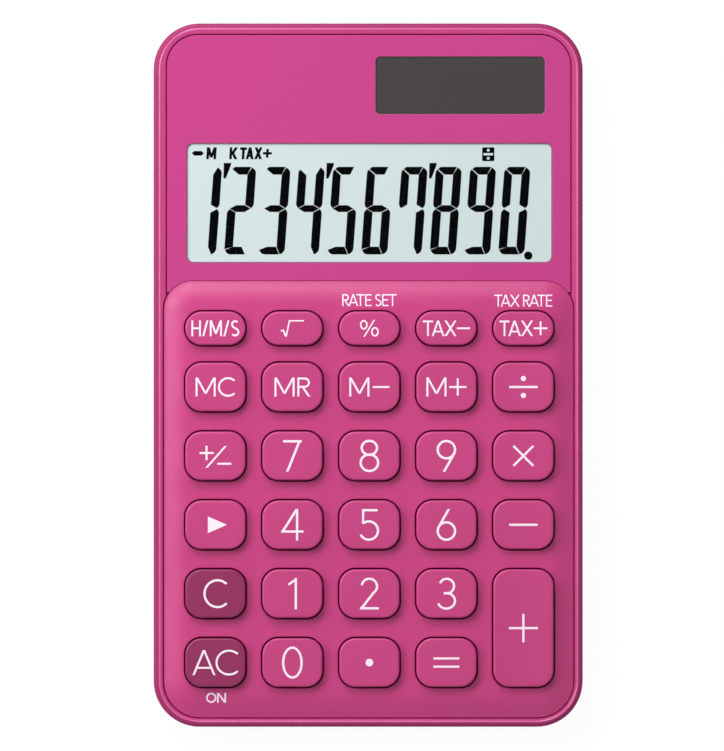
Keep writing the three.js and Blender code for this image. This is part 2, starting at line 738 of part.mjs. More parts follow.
function circuitBoard() {
  const board = toSolid(prism(boardArea, boardUnderZ, boardTopZ, 1));
  const head = { ...boardHeadArea, bottom: boardHeadArea.bottom - CUT_MARGIN };
  const holes = BOSSES.filter(([, y]) => y === middleBossY).map(([x, y]) =>
    upright(x, y, rearBossReach, rearBossReach, boardUnderZ - CUT_MARGIN, boardTopZ + CUT_MARGIN),
  );
  return toGeometry(cut(joined(board, [prism(head, boardUnderZ, boardTopZ, 1)]), holes));
}

// The strip of conductive rubber between the board and the ledge of the front glass.
function connectorStrip() {
  const y = rearGlassTopY + GLASS_LEDGE / 2;
  const strip = areaAt(FACE_SHIFT, y, DISPLAY_WIDTH, CONNECTOR_WIDTH, MIN_CORNER_RADIUS);
  return prism(strip, boardTopZ, frontGlassZ, 1);
}

// The processor's drop of black resin.
function processorDrop() {
  const dome = Array.from({ length: EDGE_STEPS }, (_, step) => {
    const angle = ((step / EDGE_STEPS) * Math.PI) / 2;
    return [CHIP_RADIUS * Math.cos(angle), CHIP_HEIGHT * Math.sin(angle)];
  });
  return turned([[0, 0], ...dome, [0, CHIP_HEIGHT]], ROUND_SIDES);
}

function solarCell() {
  const cell = grown(solarArea, CELL_BORDER);
  return prism({ ...cell, radius: MIN_CORNER_RADIUS }, shelfUnderZ - CELL_THICKNESS, shelfUnderZ, 1);
}

// A soldered lead from the end of the solar cell down to the board.
function solarLead(y) {
  const cellZ = shelfUnderZ - CELL_THICKNESS / 2;
  const tailZ = boardTopZ + LEAD_RADIUS + LEAD_LIFT;
  const path = new THREE.CatmullRomCurve3([
    new THREE.Vector3(leadStartX, y, cellZ),
    new THREE.Vector3(leadStartX - LEAD_STUB, y, cellZ),
    new THREE.Vector3(leadEndX + LEAD_TAIL, y, tailZ),
    new THREE.Vector3(leadEndX, y, tailZ),
  ]);
  const section = new THREE.Shape(
    Array.from({ length: LEAD_SIDES }, (_, side) => {
      const angle = (side / LEAD_SIDES) * 2 * Math.PI;
      return new THREE.Vector2(LEAD_RADIUS * Math.cos(angle), LEAD_RADIUS * Math.sin(angle));
    }),
  );
  return new THREE.ExtrudeGeometry(section, { steps: LEAD_STEPS, extrudePath: path });
}

// A button cell with its narrower negative cap below.
function batteryCell() {
  return turned(
    [
      [0, 0],
      [BATTERY_CAP_RADIUS, 0],
      [BATTERY_CAP_RADIUS, BATTERY_CAP_HEIGHT],
      [BATTERY_RADIUS, BATTERY_CAP_HEIGHT],
      [BATTERY_RADIUS, BATTERY_THICKNESS],
      [0, BATTERY_THICKNESS],
    ],
    BATTERY_SIDES,
  );
}

// A spring strip across the battery, bent once to meet the board. The points are [x, z].
function contactStrip(points) {
  const over = points.map(([x, z]) => [x, z + CONTACT_THICKNESS]).reverse();
  return barAlongY([...points, ...over], batteryY, CONTACT_WIDTH);
}

function negativeContact() {
  return contactStrip([
    [contactStartX, floorZ],
    [boardHeadLeftX - CONTACT_STEP, floorZ],
    [boardHeadLeftX, boardUnderZ - CONTACT_THICKNESS],
    [boardHeadLeftX + CONTACT_OVERLAP, boardUnderZ - CONTACT_THICKNESS],
  ]);
}

function positiveContact() {
  return contactStrip([
    [contactStartX, batteryTopZ],
    [batteryX + BATTERY_RADIUS, batteryTopZ],
    [boardHeadLeftX, boardTopZ],
    [boardHeadLeftX + CONTACT_OVERLAP, boardTopZ],
  ]);
}

// A case screw from its head up, seated on the bottom of its counterbore.
function caseScrew() {
  const tip = bossMeetZ - screwSeatZ + SCREW_GRIP;
  return turned(
    [
      [0, -SCREW_HEAD_HEIGHT],
      [SCREW_HEAD_RADIUS, -SCREW_HEAD_HEIGHT],
      [SCREW_HEAD_RADIUS, 0],
      [SCREW_RADIUS, 0],
      [SCREW_RADIUS, tip],
      [0, tip],
    ],
    ROUND_SIDES,
  );
}

// ---------------------------------------------------------------- assembly

function part(name, geometry, look) {
  geometry.computeVertexNormals();
  const mesh = new THREE.Mesh(geometry, new THREE.MeshStandardMaterial(look));
  mesh.name = name;
  return mesh;
}

function placed(mesh, x, y, z) {
  mesh.position.set(x, y, z);
  return mesh;
}

function group(...parts) {
  return new THREE.Group().add(...parts);
}

function shells() {
  return group(
    part('rear_cover', rearCover(), SHELL_PLASTIC),
    part('front_case', frontCase(), SHELL_PLASTIC),
    part('display_panel', displayPanel(), PANEL_PLASTIC),
    part('display_window', windowLens(displayArea, DISPLAY_WINDOW_THICKNESS), CLEAR_PLASTIC),
    part('solar_window', windowLens(solarArea, SOLAR_WINDOW_THICKNESS), SMOKED_PLASTIC),
  );
}

function keys() {
  return group(
    ...keyPlaces().map(([name, x, y, length]) => {
      const cap = OPERATOR_KEYS.includes(name) ? operatorCap(length) : keyCap(length);
      const look = DARK_KEYS.includes(name) ? DARK_KEY_PLASTIC : KEY_PLASTIC;
      return placed(part(`key_${name}`, cap, look), x, y, domeTopZ);
    }),
  );
}

function displayStack() {
  return group(
    part('lcd_front_glass', prism(frontGlassArea, frontGlassZ, shelfTopZ, 1), GLASS),
    part('lcd_rear_glass', prism(rearGlassArea, rearGlassZ, frontGlassZ, 1), GLASS),
    part('lcd_reflector', prism(rearGlassArea, boardTopZ, rearGlassZ, 1), REFLECTOR_FILM),
    part('lcd_connector_strip', connectorStrip(), CONDUCTIVE_RUBBER),
  );
}

// The parts soldered to the board, the processor midway between battery contact and solar leads.
function solderedParts() {
  const chipX = (boardHeadLeftX + CONTACT_OVERLAP + leadEndX) / 2;
  const smallPartsY = solarY + CHIP_RADIUS + CAPACITOR_SIZE.y;
  const capacitor = part('capacitor', new THREE.BoxGeometry(...CAPACITOR_SIZE), CERAMIC);
  const diode = part('voltage_limiter', new THREE.BoxGeometry(...DIODE_SIZE), RESIN);
  return [
    placed(part('processor', processorDrop(), RESIN), chipX, solarY, boardTopZ),
    placed(capacitor, chipX - CAPACITOR_SIZE.x, smallPartsY, boardTopZ + CAPACITOR_SIZE.z / 2),
    placed(diode, chipX + DIODE_SIZE.x, smallPartsY, boardTopZ + DIODE_SIZE.z / 2),
    part('solar_lead_positive', solarLead(solarY + LEAD_SPACING / 2), SPRING_STEEL),
    part('solar_lead_negative', solarLead(solarY - LEAD_SPACING / 2), SPRING_STEEL),
  ];
}

function electronics() {
  return group(
    part('circuit_board', circuitBoard(), BOARD_LAMINATE),
    part('key_mat', keyMat(), RUBBER),
    part('solar_cell', solarCell(), SILICON),
    ...solderedParts(),
  );
}

function battery() {
  const cell = part('battery_cell', batteryCell(), SPRING_STEEL);
  return group(
    placed(cell, batteryX, batteryY, batteryUnderZ),
    part('battery_contact_negative', negativeContact(), SPRING_STEEL),
    part('battery_contact_positive', positiveContact(), SPRING_STEEL),
  );
}

function screws() {
  return group(
    ...BOSSES.map(([x, y], index) =>
      placed(part(`case_screw_${index + 1}`, caseScrew(), SCREW_STEEL), x, y, screwSeatZ),
    ),
  );
}

const calculator = group(shells(), keys(), displayStack(), electronics(), battery(), screws());

export default calculator;
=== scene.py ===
import math
from collections import namedtuple

import bpy
import numpy as np
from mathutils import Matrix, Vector
from mathutils.geometry import delaunay_2d_cdt


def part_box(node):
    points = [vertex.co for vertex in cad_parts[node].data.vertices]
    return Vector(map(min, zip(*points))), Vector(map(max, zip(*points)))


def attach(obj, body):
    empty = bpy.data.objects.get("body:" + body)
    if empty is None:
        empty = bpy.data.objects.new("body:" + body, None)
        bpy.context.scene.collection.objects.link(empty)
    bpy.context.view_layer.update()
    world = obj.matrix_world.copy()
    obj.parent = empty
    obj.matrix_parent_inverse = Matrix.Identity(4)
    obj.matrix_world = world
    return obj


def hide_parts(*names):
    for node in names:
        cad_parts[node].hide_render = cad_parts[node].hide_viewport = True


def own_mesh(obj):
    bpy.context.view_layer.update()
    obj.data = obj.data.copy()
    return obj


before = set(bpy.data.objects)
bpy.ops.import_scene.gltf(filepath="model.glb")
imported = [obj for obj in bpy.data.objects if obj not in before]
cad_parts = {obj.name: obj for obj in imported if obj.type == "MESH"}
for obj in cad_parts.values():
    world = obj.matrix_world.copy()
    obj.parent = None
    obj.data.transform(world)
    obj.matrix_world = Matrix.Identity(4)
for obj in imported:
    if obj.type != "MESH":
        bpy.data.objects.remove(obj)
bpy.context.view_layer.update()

MM = 0.001

# ---------------------------------------------------------------- sizes in millimetres

CASE_RADIUS = 7.6
PARTING_Z = 3.3
PARTING_EDGE = [(0.10, 0.0), (0.02, 0.08), (0.0, 0.16)]  # inset, and distance from the parting line
FRONT_WALL = 1.2
SHELF_UNDER_Z = 4.6
SHELF_Z = 5.6
BOSS_RADIUS = 1.7
BOSS_ROOT = 0.15  # how deep a boss is rooted in the deck, and the plastic left over it
SHELF_ROOT = 0.05

# Rings of the rim as inset and height, from the side up, in over the bead and down to the seam.
RIM_WALL = [*((inset, PARTING_Z + away) for inset, away in PARTING_EDGE), (0.0, 5.40)]
RIM_ROLL = [(0.0, 5.40), (0.02, 5.67), (0.07, 5.90), (0.14, 6.06), (0.24, 6.15)]
RIM_SLOPE = [(0.24, 6.15), (0.42, 6.195), (0.60, 6.235), (0.74, 6.275), (0.80, 6.30)]
RIM_BEAD = [(0.80, 6.30), (0.84, 6.335), (0.92, 6.37), (1.02, 6.37), (1.08, 6.335), (1.11, 6.31)]
RIM_BAND = (1.16, 6.30)
RIM_FALL = 0.10  # how steeply the band inside the bead falls towards the seam
FACE_FROM = 0.5  # rings further in than this follow the face, and the others follow the case
FACE_X = 0.1  # the face stands this far right of the middle of the case
FACE_DROP = 0.1  # and its lower edge this much further down
SEAM_ROUND = 0.11
SEAM_END = 0.3  # how near the panel's and the deck's stretches of the seam come to their joint
GROOVE_Z = 6.05
SHELF_OVERLAP = 0.1  # how far the panel's shelf reaches past the panel's lower edge

DECK_INSET = 1.65
DECK_GROOVE = 0.2
DECK_RADIUS = CASE_RADIUS - DECK_INSET
DECK_UPPER_RADIUS = 4.8
DECK_UNDER_Z = 6.2
DECK_EDGE_WALL = 2.3
DECK_EDGE_ROUND = (0.12, 0.10)  # how far an edge's round reaches across and down
DECK_SLOPE = 0.34
DECK_SLOPE_WIDTH = 4.85
DECK_SLOPE_HOLD = 0.2  # the share of that width over which the slope stays even
DECK_GRID = 0.5
MOUND_HEIGHT = 0.1  # the deck swells this much round each aperture
MOUND_REACH = 1.0
APERTURE_CLEARANCE = 0.24
APERTURE_ROUND = (0.06, 0.06)

REAR_EDGE = (1.6, 1.8)  # across and up
LIP_INSET = 1.3
LIP_WALL = 0.6
LIP_Z = 4.1
FLOOR_Z = 1.5
FOOT_Z = 0.3
FOOT_INSET = 9.0
FOOT_RADIUS = 2.6
FOOT_ROUND = 0.16
REAR_BOSS = (2.2, 2.4)  # radius, and the height of its top
REAR_BOSS_ROOT = 0.1
HEAD_BORE = (1.6, 1.25)  # radius, and the height of the seat
BORE_BEVEL = 0.08

SHANK_HOLE = 0.75
SHANK_FIT = 0.03  # how much wider the rear boss is bored than its floor
# Radius and height of a screw's head, neck and tip, and of each crest of its thread over the root below.
SCREW_HEAD = (1.45, 0.8)
SCREW_NECK = (0.55, 0.3)
SCREW_TIP = (0.4, 0.2)
SCREW_CREST = (0.65, 0.13)
SCREW_CORE = 0.5
SCREW_TURNS = 9
SCREW_HEAD_ROUND = 0.28
SCREW_CROSS = (0.72, 0.17, 0.42)  # reach, half width and depth of the recess
SCREW_CROSS_TAPER = 0.55

KEY_RADIUS = 2.7
ROUND_END_FLAT = 0.02  # half the straight stretch in the middle of a fully round end
KEY_FLANGE = 0.75
KEY_FLANGE_HEIGHT = 0.7
KEY_FLANGE_BEVEL = (0.1, 0.05)  # at its foot and at its top
KEY_EDGE = (0.34, 0.34)
KEY_TOP_MARGIN = 0.02
KEY_CROWN = 0.03
KEY_GRID = 0.6
OPERATOR_DISH = 0.18

PANEL_HORN = 1.9
PANEL_TIP = 1.0  # the lowest stretch of the panel's sides, which runs straight to its tips
PANEL_SIDE_INSET = 1.95
PANEL_TOP_INSET = 1.75
PANEL_RADIUS = 5.3
PANEL_CLEARANCE = 0.15
PANEL_BEVEL = 0.06
PANEL_GRID = 2.5
DECK_CLEARANCE = 0.04
MOUTH_BEVEL = 0.12
WINDOW_CLEARANCE = 0.1
WINDOW_BEVEL = 0.05
DISPLAY_RADIUS = 1.0
SOLAR_RADIUS = 0.7
GLASS_CLEARANCE = 0.3
GLASS_RADIUS = 0.5
SOLAR_LEDGE = 0.8
LENS_CLEARANCE = 0.03
LENS_THICKNESS = 0.1
FILM_GAP = 0.03
BATTERY_MARGIN = 0.35

MAT_SHEET = 0.6
DOME_BASE = 3.2
# Rings of a dome as radius and height over the sheet: up its outside, over its top, and down its inside.
DOME_OUTSIDE = [(DOME_BASE, 0.0), (3.1, 0.25), (2.2, 1.35), (2.0, 1.7), (1.4, 1.7)]
DOME_INSIDE = [(1.3, 1.25), (1.7, 1.05), (2.6, 0.0)]
BOSS_CLEARANCE = 0.3

INK = 0.008  # how thick the printed legends are
INK_ROOT = 0.01
DECK_INK_ROOT = 0.02

# ---------------------------------------------------------------- loops

# An upright rectangle with round corners: radius is that of the lower ones, and upper that of the upper ones.
Area = namedtuple("Area", "left right bottom top radius upper")
MIN_RADIUS = 0.05


def box(node):
    """Lowest and highest corner of a CAD node, in millimetres."""
    low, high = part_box(node)
    return low / MM, high / MM


def middle(low, high):
    return (low.x + high.x) / 2, (low.y + high.y) / 2


def grown(a, margin):
    return Area(
        a.left - margin, a.right + margin, a.bottom - margin, a.top + margin,
        max(a.radius + margin, MIN_RADIUS), max(a.upper + margin, MIN_RADIUS),
    )


def on_ellipse(x, y, rx, ry, angles):
    return [(x + rx * math.cos(t), y + ry * math.sin(t)) for t in angles]


def on_circle(x, y, radius, angles):
    return on_ellipse(x, y, radius, radius, angles)


def stepped(start, end, steps):
    return [start + (end - start) * i / steps for i in range(steps + 1)]


def divided(start, end, parts):
    """Even steps along a line, from its start and short of its end."""
    (x0, y0), (x1, y1) = start, end
    return [(x0 + (x1 - x0) * i / parts, y0 + (y1 - y0) * i / parts) for i in range(parts)]


def outline(a, z, size):
    """A closed loop round an area, anticlockwise. Its size is its steps round a corner, across and along."""
    corner, across, along = size
    corners = [
        (a.right - a.upper, a.top - a.upper, a.upper),
        (a.left + a.upper, a.top - a.upper, a.upper),
        (a.left + a.radius, a.bottom + a.radius, a.radius),
        (a.right - a.radius, a.bottom + a.radius, a.radius),
    ]
    turn = math.pi / 2
    arcs = [on_circle(*place, stepped(i * turn, (i + 1) * turn, corner)) for i, place in enumerate(corners)]
    loop = []
    for i, points in enumerate(arcs):
        loop += points + divided(points[-1], arcs[(i + 1) % 4][0], along if i % 2 else across)[1:]
    return at_height(loop, z)


def around(a, margin, z, size):
    return outline(grown(a, margin), z, size)


def circle(x, y, radius, z, sides=48):
    return at_height(on_circle(x, y, radius, stepped(0, 2 * math.pi, sides)[:-1]), z)


def inside_depth(a, x, y):
    """How far points lie inside an area's outline."""
    half_x, half_y = (a.right - a.left) / 2, (a.top - a.bottom) / 2
    dx, dy = x - (a.left + a.right) / 2, y - (a.bottom + a.top) / 2
    r = np.where(dy > 0, a.upper, a.radius)
    qx, qy = np.abs(dx) - half_x + r, np.abs(dy) - half_y + r
    beyond = np.hypot(np.maximum(qx, 0), np.maximum(qy, 0))
    return r - beyond - np.minimum(np.maximum(qx, qy), 0)


def at_height(loop, z):
    return [(p[0], p[1], z) for p in loop]


def lifted(loop, height):
    xs, ys = np.array([p[0] for p in loop]), np.array([p[1] for p in loop])
    return [(p[0], p[1], float(z)) for p, z in zip(loop, height(xs, ys))]


def flat(z):
    return lambda x, y: np.full(np.shape(x), float(z))


def anticlockwise(polygon):
    area = sum(a[0] * b[1] - b[0] * a[1] for a, b in zip(polygon, polygon[1:] + polygon[:1]))
    return polygon if area > 0 else polygon[::-1]


def offset(loop, distance):
    """A loop moved outwards by a distance, mitred at its corners."""
    made = []
    for i, (x, y, z) in enumerate(loop):
        (x0, y0, _), (x1, y1, _) = loop[i - 1], loop[(i + 1) % len(loop)]
        before, after = math.hypot(x - x0, y - y0), math.hypot(x1 - x, y1 - y)
        nx0, ny0 = (y - y0) / before, (x0 - x) / before
        nx1, ny1 = (y1 - y) / after, (x - x1) / after
        share = distance / (1 + nx0 * nx1 + ny0 * ny1)
        made.append((x + (nx0 + nx1) * share, y + (ny0 + ny1) * share, z))
    return made


def quarter(steps):
    """Shares of a quarter round, from upright to level: how far across and how far down its height."""
    return [(math.sin(t), 1 - math.cos(t)) for t in stepped(0, math.pi / 2, steps)]


def rolled(a, reach, height, size, steps, sign=1):
    """Rings over a rounded edge, from its upright side onto a surface. A negative sign is for a hole."""
    across, down = reach
    top = lifted(around(a, -sign * across, 0, size), height)
    rings = []
    for turn in stepped(0, math.pi / 2, steps):
        ring = around(a, -sign * across * (1 - math.cos(turn)), 0, size)
        drop = down * (1 - math.sin(turn))
        rings.append([(x, y, z - drop) for (x, y, _), (_, _, z) in zip(ring, top)])
    return rings


# ---------------------------------------------------------------- meshes

GRID_ROW = 0.866  # rows of an even triangular grid, as a share of its spacing
GRID_GAP = 0.6  # how near the border a grid point may lie, as a share of the spacing
GRID_BATCH = 1500  # grid points measured at a time
WELD_DIGITS = 4
CREASE, SHELL_CREASE, KEY_CREASE, SCREW_CREASE = 32, 38, 40, 35


def triangular_grid(border, spacing):
    """Points of an even grid over a border's box, without those that crowd the border."""
    low, high = border.min(0), border.max(0)
    xs = np.arange(low[0] + spacing / 2, high[0], spacing)
    ys = np.arange(low[1] + spacing / 2, high[1], spacing * GRID_ROW)
    grid = np.array([(x + (row % 2) * spacing / 2, y) for row, y in enumerate(ys) for x in xs])
    clear = np.ones(len(grid), bool)
    for part in np.array_split(np.arange(len(grid)), max(1, len(grid) // GRID_BATCH)):
        gap = grid[part, None, :] - border[None, :, :]
        clear[part] = (gap ** 2).sum(2).min(1) > (GRID_GAP * spacing) ** 2
    return grid[clear]


def numbered(loops):
    """All the loops' points, and each loop as a list of their numbers."""
    points, numbers = [], []
    for loop in loops:
        numbers.append(list(range(len(points), len(points) + len(loop))))
        points += loop
    return points, numbers


class Shape:
    """A mesh in the making: points in millimetres, welded where they meet, and faces with their materials."""

    def __init__(self):
        self.points, self.places, self.faces, self.kinds = [], {}, [], []

    def point(self, p):
        key = tuple(round(c, WELD_DIGITS) for c in p)
        if key not in self.places:
            self.places[key] = len(self.points)
            self.points.append(p)
        return self.places[key]

    def face(self, corners, kind=0):
        ids = [self.point(p) for p in corners]
        ids = [v for i, v in enumerate(ids) if v != ids[i - 1]]
        if len(set(ids)) == len(ids) and len(ids) > 2:
            self.faces.append(ids)
            self.kinds.append(kind)

    def strip(self, lower, upper, kind=0):
        """Joins two loops of the same count. With the upper one second, it faces outwards."""
        for i in range(len(lower)):
            self.face([lower[i - 1], lower[i], upper[i], upper[i - 1]], kind)

    def loft(self, loops, kind=0):
        for lower, upper in zip(loops, loops[1:]):
            self.strip(lower, upper, kind)

    def sheet(self, outer, holes=(), height=None, spacing=0.0, up=True, kind=0):
        """Fills between an outline and its holes. With a spacing, a grid of points follows the height."""
        border, rims = numbered([outer, *holes])
        levels = [z for _, _, z in border]
        spots = [Vector((x, y)) for x, y, _ in border]
        if spacing:
            grid = triangular_grid(np.array(border)[:, :2], spacing)
            spots += [Vector(p) for p in grid]
            levels += list(height(*grid.T))
        _, _, triangles, origins, _, owners = delaunay_2d_cdt(spots, [], rims, 0, 1e-6, True)
        for triangle, owner in zip(triangles, owners):
            if owner != [0]:
                continue
            corners = [(*spots[origins[v][0]], levels[origins[v][0]]) for v in triangle]
            (x0, y0, _), (x1, y1, _), (x2, y2, _) = corners[:3]
            turns_left = (x1 - x0) * (y2 - y0) > (x2 - x0) * (y1 - y0)
            self.face(corners if turns_left == up else corners[::-1], kind)

    def relief(self, polygons, height, thickness, root):
        """A thin closed layer in the shape of the polygons' union, lying on a surface of that height."""
        points, faces = numbered(map(anticlockwise, polygons))
        spots = [Vector(p) for p in points]
        made, _, triangles, _, _, owners = delaunay_2d_cdt(spots, [], faces, 1, 1e-5, True)
        surface = lifted(made, height)
        over = [(x, y, z + thickness) for x, y, z in surface]
        under = [(x, y, z - root) for x, y, z in surface]
        sides = set()
        for triangle, owner in zip(triangles, owners):
            if not owner:
                continue
            self.face([over[v] for v in triangle])
            self.face([under[v] for v in reversed(triangle)])
            for a, b in zip(triangle, triangle[1:] + triangle[:1]):
                if (b, a) in sides:
                    sides.remove((b, a))
                else:
                    sides.add((a, b))
        for a, b in sorted(sides):
            self.face([under[a], under[b], over[b], over[a]])

    def plate(self, loop, holes, low, high):
        """A closed upright prism with holes through it."""
        for z, up in ((high, True), (low, False)):
            self.sheet(at_height(loop, z), [at_height(hole, z) for hole in holes], up=up)
        self.strip(at_height(loop, low), at_height(loop, high))
        for hole in holes:
            self.strip(at_height(hole, high), at_height(hole, low))

    def tube(self, x, y, outer, inner, low, high):
        """A closed upright tube."""
        sections = [(outer, low), (outer, high), (inner, high), (inner, low), (outer, low)]
        self.loft([circle(x, y, radius, z) for radius, z in sections])

    def piece(self, name, body, materials, crease=CREASE):
        mesh = bpy.data.meshes.new(name)
        mesh.from_pydata([Vector(p) * MM for p in self.points], [], self.faces)
        for material in materials:
            mesh.materials.append(material)
        mesh.polygons.foreach_set("material_index", self.kinds)
        mesh.shade_smooth()
        mesh.set_sharp_from_angle(angle=math.radians(crease))
        mesh.update()
        obj = bpy.data.objects.new(name, mesh)
        bpy.context.scene.collection.objects.link(obj)
        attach(obj, body)
        return obj




# ---------------------------------------------------------------- materials


def tint(red, green, blue):
    """A colour from its eight-bit sRGB values."""
    shares = [c / 255 for c in (red, green, blue)]
    return (*[c / 12.92 if c <= 0.04045 else ((c + 0.055) / 1.055) ** 2.4 for c in shares], 1.0)


def shaded(color, factor):
    return (*[c * factor for c in color[:3]], 1.0)


def feed(node, values):
    """Gives a node's inputs their constants, or links them to other nodes' outputs."""
    for key, value in values.items():
        if isinstance(value, bpy.types.NodeSocket):
            node.id_data.links.new(value, node.inputs[key])
        else:
            node.inputs[key].default_value = value


def new_node(tree, kind, **values):
    """A shader node with its inputs fed. Their names are given with underscores for spaces."""
    node = tree.nodes.new("ShaderNode" + kind)
    feed(node, {key.replace("_", " "): value for key, value in values.items()})
    return node


NOISE_RANGE = (0.3, 0.7)  # where nearly all of a noise's values lie


class Surface:
    """A node material round one Principled shader, with helpers for its textures."""

    def __init__(self, name, metallic=0.0, gloss=0.5):
        self.material = bpy.data.materials.new(name)
        self.material.use_nodes = True
        self.tree = self.material.node_tree
        self.shader = self.tree.nodes["Principled BSDF"]
        self.place = new_node(self.tree, "TexCoord").outputs["Object"]
        feed(self.shader, {"Metallic": metallic, "Specular IOR Level": gloss})

    def noise(self, size, detail=3.0, stretch=None):
        """Noise with features of that size in millimetres, from 0 to 1."""
        place = self.place
        if stretch:
            place = new_node(self.tree, "Mapping", Vector=place, Scale=stretch).outputs["Vector"]
        node = new_node(self.tree, "TexNoise", Vector=place, Scale=1 / (size * MM), Detail=detail)
        return node.outputs["Fac"]

    def color(self, source, low, high, ends=NOISE_RANGE):
        ramp = new_node(self.tree, "ValToRGB", Fac=source)
        for stop, place, shade in zip(ramp.color_ramp.elements, ends, (low, high)):
            stop.position, stop.color = place, shade
        feed(self.shader, {"Base Color": ramp.outputs["Color"]})

    def roughness(self, source, low, high):
        values = dict(zip(("From_Min", "From_Max"), NOISE_RANGE), To_Min=low, To_Max=high)
        node = new_node(self.tree, "MapRange", Value=source, **values)
        feed(self.shader, {"Roughness": node.outputs["Result"]})

    def bump(self, *layers):
        """Reliefs, the lowest first, each a texture and its depth in millimetres."""
        normal = {}
        for source, depth in layers:
            node = new_node(self.tree, "Bump", Height=source, Strength=1.0, Distance=depth * MM, **normal)
            normal = {"Normal": node.outputs["Normal"]}
        feed(self.shader, normal)


def moulded(name, color, roughness, grain=0.16, depth=0.0022, drift=0.03, gloss=0.5, flow=0.006):
    """Moulded plastic: a fine grain over slow waves, and a slow drift of colour and of roughness."""
    surface = Surface(name, gloss=gloss)
    surface.color(surface.noise(14, 2), shaded(color, 1 - drift), shaded(color, 1 + drift))
    surface.roughness(surface.noise(0.9, 4), roughness - 0.03, roughness + 0.03)
    surface.bump((surface.noise(3.5, 2), flow), (surface.noise(grain, 2), depth))
    return surface.material


def clear_lens(name, color, alpha, roughness):
    surface = Surface(name)
    surface.color(surface.noise(25, 1), shaded(color, 0.98), color)
    surface.roughness(surface.noise(6, 3), roughness, roughness + 0.03)
    feed(surface.shader, {"Alpha": alpha})
    return surface.material


def display_film():
    """The pale rear film that shows through the display glass, with a faint milky tooth."""
    surface = Surface("display_film")
    pale = tint(209, 224, 224)
    surface.color(surface.noise(0.4, 3), shaded(pale, 0.985), shaded(pale, 1.01))
    surface.roughness(surface.noise(5, 2), 0.3, 0.36)
    surface.bump((surface.noise(0.5, 2), 0.0004))
    return surface.material


def solar_material():
    """Amorphous silicon on glass: near-black brown, divided by fine lines across its length."""
    surface = Surface("solar_silicon")
    wave = new_node(surface.tree, "TexWave", Vector=surface.place, Scale=0.05 / MM)
    wave.wave_type, wave.bands_direction = "BANDS", "X"
    surface.color(wave.outputs["Fac"], tint(64, 52, 50), tint(34, 26, 28), (0.02, 0.06))
    surface.roughness(surface.noise(2, 3), 0.16, 0.24)
    return surface.material


def board_material():
    """Green solder resist over copper tracks, which show as paler, slightly raised bands."""
    surface = Surface("solder_resist")
    bricks = new_node(surface.tree, "TexBrick", Vector=surface.place, Scale=0.2 / MM, Mortar_Size=0.03)
    surface.color(bricks.outputs["Fac"], tint(38, 92, 58), tint(70, 130, 84), (0.1, 0.6))
    surface.roughness(surface.noise(1.5, 3), 0.3, 0.42)
    surface.bump((bricks.outputs["Fac"], 0.02))
    return surface.material


def metal(name, color, roughness, stretch=None):
    surface = Surface(name, metallic=1.0)
    source = surface.noise(0.25, 4, stretch)
    surface.color(source, shaded(color, 0.88), color)
    surface.roughness(source, roughness, roughness + 0.12)
    surface.bump((source, 0.002))
    return surface.material


def speckled(name, color, roughness, size, drift):
    surface = Surface(name)
    source = surface.noise(size, 4)
    surface.color(source, shaded(color, 1 - drift), shaded(color, 1 + drift))
    surface.roughness(source, roughness, roughness + 0.08)
    surface.bump((source, 0.01))
    return surface.material


DECK_PINK = tint(193, 53, 122)

PINK = moulded("shell_plastic", DECK_PINK, 0.38, gloss=0.52)
REAR = moulded("rear_plastic", shaded(DECK_PINK, 0.70), 0.45, grain=0.3, depth=0.005)
# The rim's side wall and outer slope take the shell's pink darkened to 0.7 as painted shade.
FRAME_PAINTED_SHADE = moulded("frame_plastic", shaded(DECK_PINK, 0.70), 0.4, gloss=0.2)
# The roll at the top of the rim's side is darker still, 0.57, as painted shade.
ROLL_PAINTED_SHADE = moulded("side_plastic", shaded(DECK_PINK, 0.57), 0.4, gloss=0.15)
# Painted shade for a key's sides and flange, down in the gap round the key.
KEY_GAP_PAINTED_SHADE = moulded("seam_plastic", shaded(DECK_PINK, 0.7), 0.6, gloss=0.0)
# Painted shade in the groove round the deck and on the shelf under the panel.
GROOVE_PAINTED_SHADE = moulded("groove_plastic", shaded(DECK_PINK, 0.35), 0.6, gloss=0.0)
# Painted shade on the walls of the key apertures, down in the gaps.
APERTURE_PAINTED_SHADE = moulded("aperture_plastic", shaded(DECK_PINK, 0.2), 0.6, gloss=0.0)
# The rim's bead is glossier, and its lighter pink than the shell's is a painted highlight.
BEAD_PAINTED_HIGHLIGHT = moulded("polished_edge", tint(206, 78, 146), 0.26, depth=0.0003, gloss=0.7, flow=0.002)
PANEL = moulded("panel_plastic", tint(190, 51, 128), 0.34, grain=0.1, depth=0.0008, drift=0.015)
# Painted shade: a dark grey pink on the bevel and wall round each window's mouth.
MOUTH_PAINTED_SHADE = moulded("opening_plastic", tint(150, 96, 124), 0.5, depth=0.001, gloss=0.2)
KEY_FINISH = {"grain": 0.2, "depth": 0.0003, "flow": 0.003, "gloss": 0.45}
KEY = moulded("key_plastic", tint(193, 59, 123), 0.38, **KEY_FINISH)
KEY_DARK = moulded("dark_key_plastic", tint(139, 30, 84), 0.38, **KEY_FINISH)
WHITE_INK = moulded("white_ink", tint(251, 236, 247), 0.5, grain=0.06, depth=0.001, drift=0.01, gloss=0.3)
LCD_BLACK = moulded("segment_black", tint(2, 2, 3), 0.5, grain=0.3, depth=0.0, drift=0.2, gloss=0.0)
FROSTED = moulded("frosted_edge", tint(236, 236, 238), 0.6, grain=0.08, depth=0.004, drift=0.02)
RUBBER = moulded("grey_rubber", tint(74, 74, 78), 0.75, grain=0.25, depth=0.006, drift=0.06)
CLEAR = clear_lens("clear_lens", tint(60, 62, 62), 0.02, 0.05)
SMOKED = clear_lens("smoked_lens", tint(52, 45, 46), 0.93, 0.10)
FILM = display_film()
STEEL = metal("nickel_steel", (0.56, 0.56, 0.57, 1.0), 0.25, (1.0, 8.0, 1.0))
